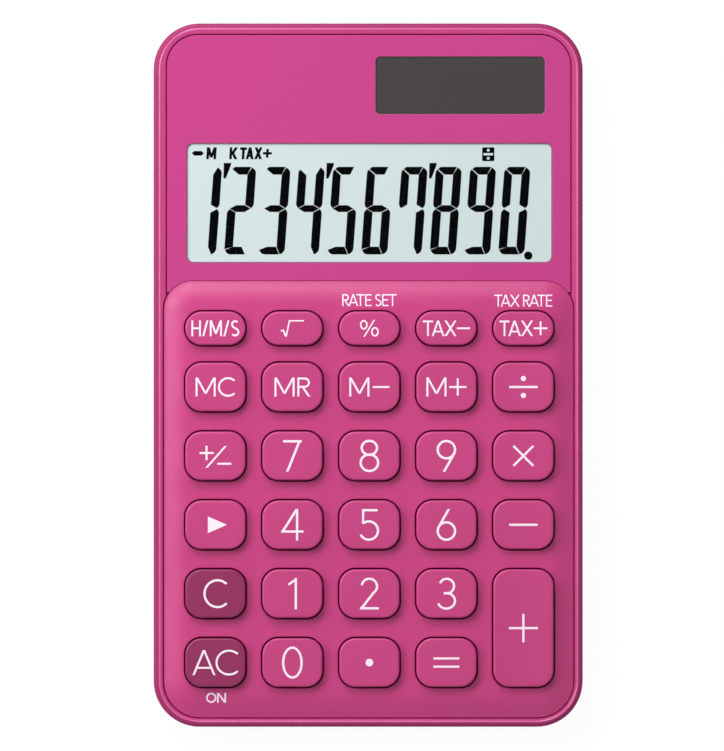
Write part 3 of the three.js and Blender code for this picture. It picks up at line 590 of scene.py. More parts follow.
SCREW = metal("screw_steel", (0.42, 0.42, 0.43, 1.0), 0.3)

# ---------------------------------------------------------------- places read from the frame


def node_area(node, margin, radius):
    """A node's area grown by a margin, with that radius at its corners."""
    low, high = box(node)
    return grown(Area(low.x, high.x, low.y, high.y, radius - margin, radius - margin), margin)


case_low, case_high = box("front_case")
panel_low, panel_high = box("display_panel")
deck_top_y = panel_low.y + PANEL_HORN
deck_flat_z = case_high.z - MOUND_HEIGHT
case_area = node_area("front_case", 0, CASE_RADIUS)
face_area = case_area._replace(
    left=case_low.x + FACE_X, right=case_high.x + FACE_X, bottom=case_low.y - FACE_DROP,
)
deck_area = Area(
    face_area.left + DECK_INSET, face_area.right - DECK_INSET, face_area.bottom + DECK_INSET, deck_top_y,
    DECK_RADIUS, DECK_UPPER_RADIUS,
)
display_area = node_area("display_window", WINDOW_CLEARANCE, DISPLAY_RADIUS)
solar_area = node_area("solar_window", WINDOW_CLEARANCE, SOLAR_RADIUS)
glass_area = node_area("lcd_front_glass", GLASS_CLEARANCE, GLASS_RADIUS)


def nodes_named(start):
    return sorted(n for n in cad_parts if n.startswith(start) and n != "key_mat")


Key = namedtuple("Key", "name node x y low high area")
Screw = namedtuple("Screw", "node x y low high")


def read_key(node):
    low, high = box(node)
    radius = min(KEY_RADIUS, (high.y - low.y) / 2 - KEY_FLANGE - ROUND_END_FLAT)
    body = node_area(node, -KEY_FLANGE, radius)
    return Key(node.removeprefix("key_"), node, *middle(low, high), low.z, high.z, body)


def read_screw(node):
    low, high = box(node)
    return Screw(node, *middle(low, high), low.z, high.z)


keys = {k.name: k for k in map(read_key, nodes_named("key_"))}
right_x = max(k.x for k in keys.values())
OPERATORS = [k.name for k in keys.values() if k.x > right_x - KEY_RADIUS]
screws = [read_screw(node) for node in nodes_named("case_screw_")]

# ---------------------------------------------------------------- the deck's surface


def deck_rise(depth):
    """Height above the deck's edge, at a depth in from it: an even slope that eases out to the flat."""
    share = np.clip(depth / DECK_SLOPE_WIDTH, 0, 1)
    eased = np.clip((share - DECK_SLOPE_HOLD) / (1 - DECK_SLOPE_HOLD), 0, 1)
    return DECK_SLOPE * DECK_SLOPE_WIDTH * (share - (1 - DECK_SLOPE_HOLD) * (eased ** 3 - eased ** 4 / 2))


deck_edge_z = deck_flat_z - float(deck_rise(np.array(DECK_SLOPE_WIDTH)))


def deck_height(x, y):
    x, y = np.asarray(x, float), np.asarray(y, float)
    gap = np.full(x.shape, np.inf)
    for k in keys.values():
        gap = np.minimum(gap, -inside_depth(grown(k.area, APERTURE_CLEARANCE), x, y))
    mounds = MOUND_HEIGHT * np.exp(-np.maximum(gap, 0) / MOUND_REACH)
    return deck_edge_z + deck_rise(inside_depth(deck_area, x, y)) + mounds


# ---------------------------------------------------------------- front case

CASE_LOOP = (14, 40, 70)
DECK_LOOP = (14, 76, 76)
KEY_LOOP = (10, 9, 8)
FINE_LOOP = (6, 24, 12)
SEAM_STEPS, HUG_STEPS = 8, 16  # along the stretches that follow the deck's upper corners
DECK_ROUND_STEPS, APERTURE_STEPS, KEY_ROUND_STEPS = 5, 4, 8

# The front shell's materials and their numbers. The wall, roll, gap and bore take darkened copies of the
# shell's pink as painted shade, and the bead a lighter pink as a painted highlight.
SHELL_MATERIALS = [PINK, FRAME_PAINTED_SHADE, BEAD_PAINTED_HIGHLIGHT, ROLL_PAINTED_SHADE, GROOVE_PAINTED_SHADE, APERTURE_PAINTED_SHADE]
BAND, WALL, BEAD, ROLL, GAP, BORE = range(6)


def corner_arc(a, start, end, steps):
    """Points round an area's upper right corner, between two angles."""
    return on_circle(a.right - a.upper, a.top - a.upper, a.upper, stepped(start, end, steps))


def mirrored(points):
    """The points on the other side of the face's middle, in the opposite order."""
    return [(2 * FACE_X - x, y) for x, y in reversed(points)]


def turned_order(points, y):
    """Points in anticlockwise order about the centre line at a height, starting from straight down."""
    return sorted(points, key=lambda p: (math.atan2(p[1] - y, p[0] - FACE_X) + math.pi / 2) % (2 * math.pi))


def seam_loop():
    """The rim's inner edge: round the panel's recess above, and round the deck's groove below."""
    recess = Area(
        face_area.left + PANEL_SIDE_INSET, face_area.right - PANEL_SIDE_INSET, deck_area.bottom,
        case_high.y - PANEL_TOP_INSET, DECK_RADIUS, PANEL_RADIUS,
    )
    groove = grown(deck_area, DECK_GROOVE)
    centre_x, centre_y = groove.right - groove.upper, groove.top - groove.upper
    rise = corner_arc(groove, 0, math.acos((recess.right - centre_x) / groove.upper), SEAM_STEPS)
    joint_y = rise[-1][1]
    top = [p[:2] for p in outline(recess, 0, CASE_LOOP) if p[1] > joint_y + SEAM_END]
    foot = [p[:2] for p in outline(groove, 0, CASE_LOOP) if p[1] < centre_y - SEAM_END]
    waist_y = (groove.bottom + centre_y) / 2
    left_foot = turned_order([p for p in foot if p[0] < FACE_X], waist_y)
    right_foot = turned_order([p for p in foot if p[0] >= FACE_X], waist_y)
    over = turned_order(top, (recess.top + joint_y) / 2)
    return at_height([*rise, *over, *mirrored(rise), *left_foot, *right_foot], 0.0)


def rim_height(x, y):
    """Height of the band between the bead and the seam."""
    return RIM_BAND[1] - RIM_FALL * (inside_depth(face_area, x, y) - RIM_BAND[0])


def groove_floor(x, y):
    """The floor inside the seam: the panel's shelf above, and a shallow groove round the deck below."""
    return np.where(y > panel_low.y - SHELF_OVERLAP, SHELF_Z, GROOVE_Z)


def battery_opening():
    """The opening over the battery and the end of its contact."""
    low, high = box("battery_cell")
    contact = box("battery_contact_positive")[1]
    radius = (high.x - low.x) / 2
    return grown(Area(low.x, contact.x, low.y, high.y, radius, radius), BATTERY_MARGIN)


def boss_top(screw):
    """How high the boss over a screw reaches into the shelf or the deck."""
    if screw.y > deck_top_y:
        return SHELF_UNDER_Z + SHELF_ROOT
    low_side = float(deck_height(screw.x, screw.y - BOSS_RADIUS))
    return min(low_side - BOSS_ROOT, DECK_UNDER_Z + BOSS_ROOT)


def front_case():
    shape = Shape()
    rim = []
    for sections, kind in (
        (RIM_WALL, WALL), (RIM_ROLL, ROLL), (RIM_SLOPE, WALL), (RIM_BEAD, BEAD),
        ([RIM_BEAD[-1], RIM_BAND], BAND),
    ):
        for inset, z in sections:
            rim.append(around(face_area if inset > FACE_FROM else case_area, -inset, z, CASE_LOOP))
        shape.loft(rim[-len(sections):], kind)
    seam = seam_loop()
    seam_top = lifted(offset(seam, SEAM_ROUND), rim_height)
    seam_side = [(x, y, z - SEAM_ROUND) for (x, y, _), (_, _, z) in zip(seam, seam_top)]
    seam_foot = lifted(seam, groove_floor)
    shape.sheet(rim[-1], [seam_top])
    shape.strip(seam_top, seam_side)
    # The seam's lower wall, the floor inside it and the deck's foot take the groove's painted shade.
    shape.strip(seam_side, seam_foot, GAP)
    deck_foot = lifted(outline(deck_area, 0, DECK_LOOP), groove_floor)
    through = glass_area, grown(solar_area, -SOLAR_LEDGE), battery_opening()
    openings = [outline(a, SHELF_Z, FINE_LOOP) for a in through]
    shape.sheet(seam_foot, [deck_foot, *openings], kind=GAP)
    edge = rolled(deck_area, DECK_EDGE_ROUND, deck_height, DECK_LOOP, DECK_ROUND_STEPS)
    shape.strip(deck_foot, edge[0], GAP)
    shape.loft(edge)
    mouths, bottoms = [], []
    for k in keys.values():
        opening = grown(k.area, APERTURE_CLEARANCE)
        rings = rolled(opening, APERTURE_ROUND, deck_height, KEY_LOOP, APERTURE_STEPS, -1)
        bottoms.append(outline(opening, DECK_UNDER_Z, KEY_LOOP))
        shape.loft(rings[::-1])
        # The aperture's wall below its rounded mouth takes painted shade.
        shape.strip(rings[0], bottoms[-1], BORE)
        mouths.append(rings[-1])
    shape.sheet(edge[-1], mouths, deck_height, DECK_GRID)
    ceiling = around(deck_area, -DECK_EDGE_WALL, DECK_UNDER_Z, DECK_LOOP)
    ceiling_foot = at_height(ceiling, SHELF_UNDER_Z)
    skirt = around(case_area, -FRONT_WALL, PARTING_Z, CASE_LOOP)
    skirt_top = at_height(skirt, SHELF_UNDER_Z)
    under = [at_height(loop, SHELF_UNDER_Z) for loop in openings]
    shape.sheet(ceiling, bottoms, up=False)
    shape.strip(ceiling, ceiling_foot)
    shape.strip(skirt_top, skirt)
    shape.sheet(skirt_top, [ceiling_foot, *under], up=False)
    for over, below in zip(openings, under):
        shape.strip(over, below)
    shape.sheet(rim[0], [skirt], up=False)
    for screw in screws:
        shape.tube(screw.x, screw.y, BOSS_RADIUS, SHANK_HOLE, REAR_BOSS[1], boss_top(screw))
    made = shape.piece("front_shell", "case", SHELL_MATERIALS, SHELL_CREASE)
    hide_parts("front_case")


# ---------------------------------------------------------------- rear cover

REAR_EDGE_STEPS, FOOT_STEPS = 10, 4


def foot(shape, root, x, y):
    """A low round foot with a rounded edge."""
    rings = [root]
    for into, down in quarter(FOOT_STEPS):
        rings.append(circle(x, y, FOOT_RADIUS - FOOT_ROUND * down, FOOT_ROUND * (1 - into)))
    shape.loft(rings[::-1])
    shape.sheet(rings[-1], up=False)


def rear_cover():
    shape = Shape()
    width, height = REAR_EDGE
    sections = [(width * (1 - into), FOOT_Z + height * down) for into, down in quarter(REAR_EDGE_STEPS)]
    sections += [(inset, PARTING_Z - away) for inset, away in reversed(PARTING_EDGE)]
    loops = [around(case_area, -inset, z, CASE_LOOP) for inset, z in sections]
    lip = [around(case_area, -LIP_INSET, z, CASE_LOOP) for z in (PARTING_Z, LIP_Z)]
    inside = [around(case_area, -LIP_INSET - LIP_WALL, z, CASE_LOOP) for z in (LIP_Z, FLOOR_Z)]
    shape.loft(loops)
    shape.sheet(loops[-1], [lip[0]])
    shape.strip(*lip)
    shape.sheet(lip[1], [inside[0]])
    shape.strip(*inside)
    head_radius, seat_z = HEAD_BORE
    bores = [circle(s.x, s.y, head_radius + BORE_BEVEL, FOOT_Z) for s in screws]
    foot_x, foot_y = case_high.x - FOOT_INSET, case_high.y - FOOT_INSET
    feet = [(sx * foot_x, sy * foot_y) for sx in (-1, 1) for sy in (-1, 1)]
    foot_roots = [circle(x, y, FOOT_RADIUS, FOOT_Z) for x, y in feet]
    shape.sheet(loops[0], [*bores, *foot_roots], up=False)
    for (x, y), root in zip(feet, foot_roots):
        foot(shape, root, x, y)
    floor_holes = [circle(s.x, s.y, SHANK_HOLE, FLOOR_Z) for s in screws]
    for s, hole, mouth in zip(screws, floor_holes, bores):
        bore = [(SHANK_HOLE, seat_z), (head_radius, seat_z), (head_radius, FOOT_Z + BORE_BEVEL)]
        shape.loft([hole, *(circle(s.x, s.y, radius, z) for radius, z in bore), mouth])
        boss_radius, boss_z = REAR_BOSS
        shape.tube(s.x, s.y, boss_radius, SHANK_HOLE + SHANK_FIT, FLOOR_Z - REAR_BOSS_ROOT, boss_z)
    shape.sheet(inside[1], floor_holes)
    made = shape.piece("rear_shell", "case", [REAR], SHELL_CREASE)
    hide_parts("rear_cover")


# ---------------------------------------------------------------- panel and windows


def panel_loop():
    """The panel's outline, whose lower edge runs round the deck's corners."""
    left, right = panel_low.x + FACE_X, panel_high.x + FACE_X
    sides = Area(left, right, panel_low.y, panel_high.y, MIN_RADIUS, PANEL_RADIUS - PANEL_CLEARANCE)
    hug = grown(deck_area, DECK_CLEARANCE)
    top = [p[:2] for p in outline(sides, 0, CASE_LOOP) if p[1] > sides.bottom + PANEL_TIP]
    start = math.asin((sides.bottom - hug.top + hug.upper) / hug.upper)
    fall = corner_arc(hug, start, math.pi / 2, HUG_STEPS)[::-1]
    over = turned_order(top, sides.bottom)
    tips = (sides.right, sides.bottom), (sides.left, sides.bottom)
    return at_height([tips[0], *over, tips[1], *mirrored(fall), *fall], 0.0)


def display_panel():
    shape = Shape()
    low, high = panel_low.z, panel_high.z
    outer = panel_loop()
    bevelled = at_height(offset(outer, -PANEL_BEVEL), high)
    shape.loft([at_height(outer, low), at_height(outer, high - PANEL_BEVEL), bevelled])
    mouths, bottoms = [], []
    for opening in (display_area, solar_area):
        wall = outline(opening, low, FINE_LOOP)
        mouths.append(around(opening, MOUTH_BEVEL, high, FINE_LOOP))
        bottoms.append(wall)
        # The mouth's bevel and wall take the dark grey pink of the painted shade.
        shape.loft([mouths[-1], at_height(wall, high - MOUTH_BEVEL), wall], 1)
    shape.sheet(bevelled, mouths, flat(high), PANEL_GRID)
    shape.sheet(at_height(outer, low), bottoms, up=False)
    made = shape.piece("panel_plate", "case", [PANEL, MOUTH_PAINTED_SHADE])
    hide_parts("display_panel")


def lens(node, name, area, bottom, materials):
    """A lens and its bevelled edge, each with a material of its own."""
    shape = Shape()
    top = box(node)[1].z
    sections = [(0.0, bottom), (0.0, top - WINDOW_BEVEL), (WINDOW_BEVEL, top)]
    loops = [around(grown(area, -LENS_CLEARANCE), -inset, z, FINE_LOOP) for inset, z in sections]
    shape.loft(loops, 1)
    shape.sheet(loops[-1])
    shape.sheet(loops[0], up=False)
    return shape.piece(name, "case", materials)


def display_window():
    """The clear lens, and the display's front film close under it."""
    low, high = box("display_window")
    lens_z = high.z - LENS_THICKNESS
    film = Shape()
    film.plate(around(display_area, -LENS_CLEARANCE, 0, FINE_LOOP), [], low.z, lens_z - FILM_GAP)
    made = film.piece("display_film", "case", [FILM, FROSTED])
    clear = lens("display_window", "display_lens", display_area, lens_z, [CLEAR, FROSTED])
    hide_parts("display_window")
    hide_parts("display_window")


def solar_window():
    bottom = box("solar_window")[0].z
    made = lens("solar_window", "solar_lens", solar_area, bottom, [SMOKED, SMOKED])
    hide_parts("solar_window")


# ---------------------------------------------------------------- keys

LONG_KEY = 12.0  # a key longer than this takes more points along its sides
LONG_LOOP = (*KEY_LOOP[:2], 24)
DARK_KEYS = ("clear", "all_clear")


def key_top(k):
    """The height of a key's top: operators are dished across, and the others are barely crowned."""
    half_x, half_y = (k.area.right - k.area.left) / 2, (k.area.top - k.area.bottom) / 2
    peak = k.high - KEY_TOP_MARGIN

    def height(x, y):
        across, along = (np.asarray(x) - k.x) / half_x, (np.asarray(y) - k.y) / half_y
        if k.name in OPERATORS:
            return peak - OPERATOR_DISH * (1 - across ** 2)
        return peak - KEY_CROWN * (across ** 2 + along ** 2) / 2

    return height


def key_cap(k):
    shape = Shape()
    height = key_top(k)
    size = LONG_LOOP if k.area.top - k.area.bottom > LONG_KEY else KEY_LOOP
    shoulder = k.low + KEY_FLANGE_HEIGHT
    below, above = KEY_FLANGE_BEVEL
    sections = [
        (KEY_FLANGE - below, k.low), (KEY_FLANGE, k.low + below), (KEY_FLANGE, shoulder - above),
        (KEY_FLANGE - above, shoulder), (0.0, shoulder),
    ]
    base = [around(k.area, margin, z, size) for margin, z in sections]
    rings = rolled(k.area, KEY_EDGE, height, size, KEY_ROUND_STEPS)
    # The flange, the side below the rounded edge and the underside take painted shade for the gap round the
    # key.
    shape.loft([*base, rings[0]], 1)
    shape.loft(rings)
    shape.sheet(base[0], up=False, kind=1)
    shape.sheet(rings[-1], (), height, KEY_GRID)
    plastic, slot = (KEY_DARK, "key_dark") if k.name in DARK_KEYS else (KEY, "key_pink")
    made = shape.piece(f"cap_{k.name}", k.node, [plastic, KEY_GAP_PAINTED_SHADE], KEY_CREASE)
    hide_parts(k.node)


# ---------------------------------------------------------------- strokes and letters

ARC_STEP = 9  # degrees between the points of a curved stroke
DISC_SIDES = 32


def moved(polygons, dx, dy):
    return [[(x + dx, y + dy) for x, y in polygon] for polygon in polygons]


def cut_short(polygon, most):
    """The same polygon with its long sides divided, so that it can follow a curved surface."""
    fine = []
    for start, end in zip(polygon, polygon[1:] + polygon[:1]):
        fine += divided(start, end, max(1, math.ceil(math.dist(start, end) / most)))
    return fine


def bar(x0, y0, x1, y1, width):
    """A straight stroke with square ends."""
    length = math.hypot(x1 - x0, y1 - y0)
    ox, oy = -(y1 - y0) / length * width / 2, (x1 - x0) / length * width / 2
    return [[(x0 - ox, y0 - oy), (x1 - ox, y1 - oy), (x1 + ox, y1 + oy), (x0 + ox, y0 + oy)]]


def level(y, start, end, width):
    return bar(start, y, end, y, width)


def upright(x, start, end, width):
    return bar(x, start, x, end, width)


def slant(x0, y0, x1, y1, width):
    """A slanted stroke with level ends."""
    half = width / 2 * math.hypot(x1 - x0, y1 - y0) / abs(y1 - y0)
    return [[(x0 - half, y0), (x0 + half, y0), (x1 + half, y1), (x1 - half, y1)]]


def arc(x, y, rx, ry, start, end, width):
    """A curved stroke along an ellipse, between two angles in degrees."""
    steps = max(4, round(abs(end - start) / ARC_STEP))
    angles = stepped(math.radians(start), math.radians(end), steps)
    outer = on_ellipse(x, y, rx + width / 2, ry + width / 2, angles)
    inner = on_ellipse(x, y, rx - width / 2, ry - width / 2, angles)
    return [[outer[i], outer[i + 1], inner[i + 1], inner[i]] for i in range(steps)]


def disc(x, y, r):
    return [on_circle(x, y, r, stepped(0, 2 * math.pi, DISC_SIDES)[:-1])]


def ring(x, y, rx, ry, width):
    return arc(x, y, rx - width / 2, ry - width / 2, 0, 360, width)


# Each letter is drawn from its width, its height and its stroke.


def stem(h, s):
    return upright(s / 2, 0, h, s)


def stems(w, h, s):
    return stem(h, s) + upright(w - s / 2, 0, h, s)


def letter_a(w, h, s):
    foot_x = s / 2 * math.hypot(w / 2, h) / h
    legs = slant(foot_x, 0, w / 2, h, s) + slant(w - foot_x, 0, w / 2, h, s)
    return legs + level(h * 0.29, w * 0.2, w * 0.8, s * 0.9)


def letter_c(w, h, s):
    mouth = 46
    rx = w / (1 + math.cos(math.radians(mouth)))
    return arc(rx, h / 2, rx - s / 2, h * 0.515 - s / 2, mouth, 360 - mouth, s)


def letter_k(w, h, s):
    end = w - s * 0.6
    return stem(h, s) + slant(s, h * 0.42, end, h, s) + slant(s * 1.2, h * 0.55, end, 0, s)


def letter_m(w, h, s):
    start, valley = s * 0.62, (w / 2, h * 0.15)
    return stems(w, h, s) + slant(start, h, *valley, s) + slant(w - start, h, *valley, s)


def letter_r(w, h, s):
    bowl = h * 0.27
    waist = h - 2 * bowl
    radius = bowl - s / 2
    return [
        *stem(h, s), *level(h - s / 2, 0, w - bowl, s), *level(waist + s / 2, 0, w - bowl, s),
        *arc(w - bowl - s * 0.2, h - bowl, radius, radius, -90, 90, s),
        *slant(w * 0.42, waist + s * 0.3, w - s * 0.6, 0, s),
    ]


def letter_s(w, h, s):
    """Two arcs, joined by a bar between their ends."""
    above = (w * 0.5, h * 0.745, (w - s) * 0.45, h * 0.265 - s / 2)
    below = (w * 0.49, h * 0.265, (w - s) / 2, h * 0.275 - s / 2)
    leave, join = 232, 52
    start, end = on_ellipse(*above, [math.radians(leave)])[0], on_ellipse(*below, [math.radians(join)])[0]
    return arc(*above, 35, leave, s) + bar(*start, *end, s) + arc(*below, join, -145, s)


def letter_x(w, h, s):
    edge = s * 0.6
    return slant(edge, 0, w - edge, h, s) + slant(w - edge, 0, edge, h, s)


def digit_2(w, h, s):
    radius, leave = h * 0.28 - s / 2, -47
    bowl = (w * 0.5, h * 1.012 - radius - s / 2, radius, radius)
    x, y = on_ellipse(*bowl, [math.radians(leave)])[0]
    return arc(*bowl, 172, leave, s) + level(s / 2, 0, w, s) + slant(x, y + 0.02 * h, s * 0.72, s * 0.5, s)


def digit_3(w, h, s):
    upper = h * 0.268 - s / 2
    rx, ry = w * 0.5 - s / 2, h * 0.283 - s / 2
    return [
        *arc(w * 0.52, h * 1.01 - upper - s / 2, upper, upper, 157, -90, s),
        *arc(w * 0.5, h * 0.273, rx, ry, 90, -160, s),
        *level(h * 0.5 + s * 0.15, w * 0.36, w * 0.55, s),
    ]


def digit_4(w, h, s):
    x, y = w * 0.71, h * 0.285
    return upright(x, 0, h, s) + level(y, 0, w, s * 0.95) + slant(s * 0.62, y, x - s * 0.1, h, s)


def digit_5(w, h, s):
    r, left = h * 0.327 - s / 2, w * 0.125
    return [
        *level(h - s / 2, left, w * 0.92, s), *bar(left + s / 2, h, left + s * 0.42, h * 0.53, s * 0.95),
        *arc(w - r - s / 2, h * 0.317, r, r, 128, -153, s),
    ]


def digit_6(w, h, s):
    """A ring, and a slanted stroke that touches its left side."""
    x, y, top_x = w / 2, w / 2 - h * 0.01, w * 0.62
    r, length = (w - s) / 2, math.hypot(x - top_x, y - h)
    heading = math.atan2(y - h, x - top_x) - math.asin(r / length)
    reach = math.sqrt(length ** 2 - r ** 2)
    touch = on_circle(top_x, h, reach, [heading])[0]
    return ring(x, y, w / 2, w / 2, s) + slant(top_x, h, *touch, s)


def digit_8(w, h, s):
    return ring(w / 2, h * 0.756, w * 0.445, h * 0.259, s) + ring(w / 2, h * 0.283, w / 2, h * 0.298, s)


GLYPHS = {
    "A": letter_a, "C": letter_c, "K": letter_k, "M": letter_m, "R": letter_r, "S": letter_s, "X": letter_x,
    "2": digit_2, "3": digit_3, "4": digit_4, "5": digit_5, "6": digit_6, "8": digit_8,
    "E": lambda w, h, s: (
        stem(h, s) + level(h - s / 2, 0, w, s) + level(h * 0.52, 0, w * 0.94, s) + level(s / 2, 0, w, s)
    ),
    "H": lambda w, h, s: stems(w, h, s) + level(h / 2, 0, w, s),
    "N": lambda w, h, s: stems(w, h, s) + slant(s * 0.62, h, w - s * 0.62, 0, s),
    "O": lambda w, h, s: ring(w / 2, h / 2, w / 2, h * 0.52, s),
    "T": lambda w, h, s: level(h - s / 2, 0, w, s) + upright(w / 2, 0, h, s),
    "/": lambda w, h, s: slant(s / 2, 0, w - s / 2, h, s),
    "-": lambda w, h, s: level(h / 2, 0, w, s),
    "+": lambda w, h, s: level(h / 2, 0, w, s) + upright(w / 2, (h - w) / 2, (h + w) / 2, s),
    "0": lambda w, h, s: ring(w / 2, h / 2, w / 2, h * 0.512, s),
    "1": lambda w, h, s: (
        upright(w - s / 2, 0, h, s) + bar(h * 0.02, h * 0.785, w - s * 0.7, h * 0.945, s * 0.92)
    ),
    "7": lambda w, h, s: (
        level(h - s / 2, 0, w, s) + slant(w * 0.93 - s / 2 + 0.02, h - s / 2, w * 0.23, 0, s)
    ),
    "9": lambda w, h, s: [[(w - x, h - y) for x, y in polygon] for polygon in digit_6(w, h, s)],
}
# Widths as shares of the height, and how much closer than usual two letters stand.
NARROW = {
    "A": 0.82, "E": 0.53, "H": 0.6, "M": 0.77, "N": 0.92, "O": 1.06, "R": 0.585, "S": 0.54, "T": 0.66,
    "X": 0.78, "/": 0.38, "+": 0.88, "-": 0.84, " ": 0.17,
}
WIDE = {"A": 0.92, "C": 0.91, "M": 1.06, "R": 0.68, "+": 0.91, "-": 0.88}
DIGITS = dict(zip("0123456789", (0.66, 0.29, 0.6, 0.62, 0.71, 0.62, 0.625, 0.595, 0.63, 0.625)))
CLOSER = {"TA": 0.18, "AT": 0.2, "AX": 0.09, "RA": 0.13, "AC": 0.1, "X-": 0.07, "X+": 0.05, "ET": 0.05}


def word(text, height, stroke, widths, gap=0.09):
    """The polygons of a line of text, centred on the origin. The gap is a share of the height."""
    polygons, x = [], 0.0
    for i, letter in enumerate(text):
        if i:
            x += (gap - CLOSER.get(text[i - 1] + letter, 0.0)) * height
        width = widths[letter] * height
        if letter != " ":
            polygons += moved(GLYPHS[letter](width, height, stroke), x, 0)
        x += width
    return moved(polygons, -x / 2, -height / 2)


def sign_change():
    """Small plus, slash and small minus."""
    plus = level(0.48, -2.62, -0.3, 0.33) + upright(-1.46, -0.7, 1.66, 0.33)
    return plus + slant(-1.46, -1.95, 1.68, 1.62, 0.3) + level(-1.3, 0.32, 2.62, 0.33)


def sign_root():
    hook = bar(-1.92, -0.44, -1.5, -0.3, 0.24) + slant(-1.54, -0.26, -1.08, -1.36, 0.3)
    return hook + slant(-1.04, -1.36, -0.45, 1.35, 0.23) + level(1.24, -0.55, 1.91, 0.23)


def sign_percent():
    rings = ring(-0.92, 0.58, 0.64, 0.8, 0.26) + ring(0.92, -0.58, 0.64, 0.8, 0.26)
    return rings + slant(-0.87, -1.4, 0.82, 1.4, 0.22)


LEGENDS = {
    "time": word("H/M/S", 2.62, 0.30, NARROW), "root": sign_root(), "percent": sign_percent(),
    "tax_minus": word("TAX-", 2.57, 0.30, NARROW), "tax_plus": word("TAX+", 2.57, 0.30, NARROW),
    "memory_clear": word("MC", 3.13, 0.32, WIDE, 0.12), "memory_recall": word("MR", 3.13, 0.32, WIDE, 0.15),
    "memory_minus": word("M-", 3.13, 0.32, WIDE, 0.18), "memory_plus": word("M+", 3.13, 0.32, WIDE, 0.14),
    "divide": level(0, -2.35, 2.35, 0.37) + disc(0, 1.4, 0.43) + disc(0, -1.4, 0.43),
    "multiply": bar(-1.65, -1.65, 1.65, 1.65, 0.36) + bar(-1.65, 1.65, 1.65, -1.65, 0.36),
    "minus": level(0, -2.35, 2.35, 0.37),
    "plus": level(0, -2.4, 2.4, 0.37) + upright(0, -2.35, 2.35, 0.37),
    "equals": level(0.68, -2.15, 2.15, 0.35) + level(-0.68, -2.15, 2.15, 0.35),
    "sign": sign_change(), "point": disc(0, 0, 0.63), "shift": [[(-1.24, -1.38), (1.91, 0), (-1.24, 1.38)]],
    "clear": word("C", 4.66, 0.36, {"C": 0.85}), "all_clear": word("AC", 4.15, 0.33, WIDE, 0.1),
    **{d: word(d, 5.2, 0.38, DIGITS) for d in "0123456789"},
}
# Text, the key that it belongs to, its place from that key's middle, its height and its stroke.
DECK_LEGENDS = [
    ("RATE SET", "percent", 0.0, 4.66, 1.98, 0.21), ("TAX RATE", "tax_plus", 0.0, 4.58, 1.98, 0.21),
    ("ON", "all_clear", 0.1, -5.85, 1.62, 0.27),
]
DECK_LETTER_GAP = 0.06
KEY_INK_SIDE, DECK_INK_SIDE = 0.5, 0.3  # the longest side of a printed polygon


def printed(shape, polygons, x, y, side, height, root):
    fine = [cut_short(polygon, side) for polygon in moved(polygons, x, y)]
    shape.relief(fine, height, INK, root)


def on_key(k, polygons):
    shape = Shape()
    printed(shape, polygons, k.x, k.y, KEY_INK_SIDE, key_top(k), INK_ROOT)
    shape.piece(f"legend_{k.name}", k.node, [WHITE_INK])


def deck_legends():
    shape = Shape()
    for text, key, dx, dy, height, stroke in DECK_LEGENDS:
        polygons = word(text, height, stroke, NARROW, DECK_LETTER_GAP)
        x, y = keys[key].x + dx, keys[key].y + dy
        printed(shape, polygons, x, y, DECK_INK_SIDE, deck_height, DECK_INK_ROOT)
    shape.piece("deck_legends", "case", [WHITE_INK])


# ---------------------------------------------------------------- display

FIRST_DIGIT = (-29.68, -8.46)  # the first digit's lower left corner, from the middle of the window
DIGIT_PITCH = 5.67
DIGIT_LEAN = 0.072
SEGMENT_SPREAD = 0.06
SEGMENT_GAP = 0.002  # how far the segments stand off the film, and how far their tops do
SEGMENT_TOP = 0.012
# Each segment's corners, from the digit's lower left.
SEGMENTS = {
    "a": [(0.42, 14.06), (0.78, 14.37), (3.36, 14.37), (2.84, 13.21), (1.47, 13.21)],
    "b": [(3.59, 14.25), (3.88, 14.02), (4.12, 13.76), (4.22, 13.45), (4.24, 8.29), (4.12, 7.95), (3.9, 7.66),
          (2.93, 8.2), (2.95, 13.12)],
    "c": [(3.92, 7.37), (4.12, 7.12), (4.24, 6.76), (4.23, 0.86), (4.13, 0.55), (3.9, 0.22), (3.52, 0.02),
          (2.95, 1.21), (2.93, 6.82)],
    "d": [(0.13, 0.66), (0.38, 0.28), (0.62, 0.1), (0.88, 0.0), (3.3, 0.0), (2.74, 1.15), (1.34, 1.15)],
    "e": [(0.4, 7.37), (0.14, 7.1), (0.0, 6.76), (0.01, 0.88), (1.29, 1.26), (1.31, 6.84)],
    "f": [(0.25, 13.9), (0.1, 13.72), (0.03, 13.45), (0.0, 8.29), (0.12, 7.95), (0.36, 7.66), (1.29, 8.2),
          (1.27, 13.0)],
    "g": [(0.5, 7.52), (1.4, 8.02), (2.83, 8.02), (3.69, 7.52), (2.83, 7.02), (1.4, 7.02)],
}
LIT = {
    "1": "bc", "2": "abged", "3": "abgcd", "4": "fgbc", "5": "afgcd",
    "6": "afgedc", "7": "fabc", "8": "abcdefg", "9": "abcdfg", "0": "abcdef",
}
SHOWN = "1234567890"
MARKED = "147"  # the digits that a thousands mark follows
THOUSANDS_MARK = [(5.66, 15.01), (6.75, 15.01), (6.71, 14.7), (5.92, 12.66), (5.78, 12.55), (5.58, 12.58)]
POINT = (4.94, -0.26, 0.69)  # the decimal point's place from the last digit, and its radius

# The row over the digits: its place and lean, its minus, and its signs as x, y, width, height and stroke.
SIGN_ROW = 15.69
SIGN_LEAN = 0.06
MINUS_MARK = [(0.3, 0.98), (0.7, 1.36), (1.9, 1.36), (2.3, 0.98), (1.9, 0.6), (0.7, 0.6)]
ROW_SIGNS = [
    ("M", 2.68, 0, 1.62, 1.97, 0.43), ("K", 6.48, 0, 1.36, 1.97, 0.43), ("T", 8.2, 0, 1.12, 1.97, 0.43),
    ("A", 9.2, 0, 1.3, 1.97, 0.43), ("X", 10.56, 0, 1.36, 1.97, 0.43), ("+", 12.02, 0.28, 1.45, 1.4, 0.4),
]
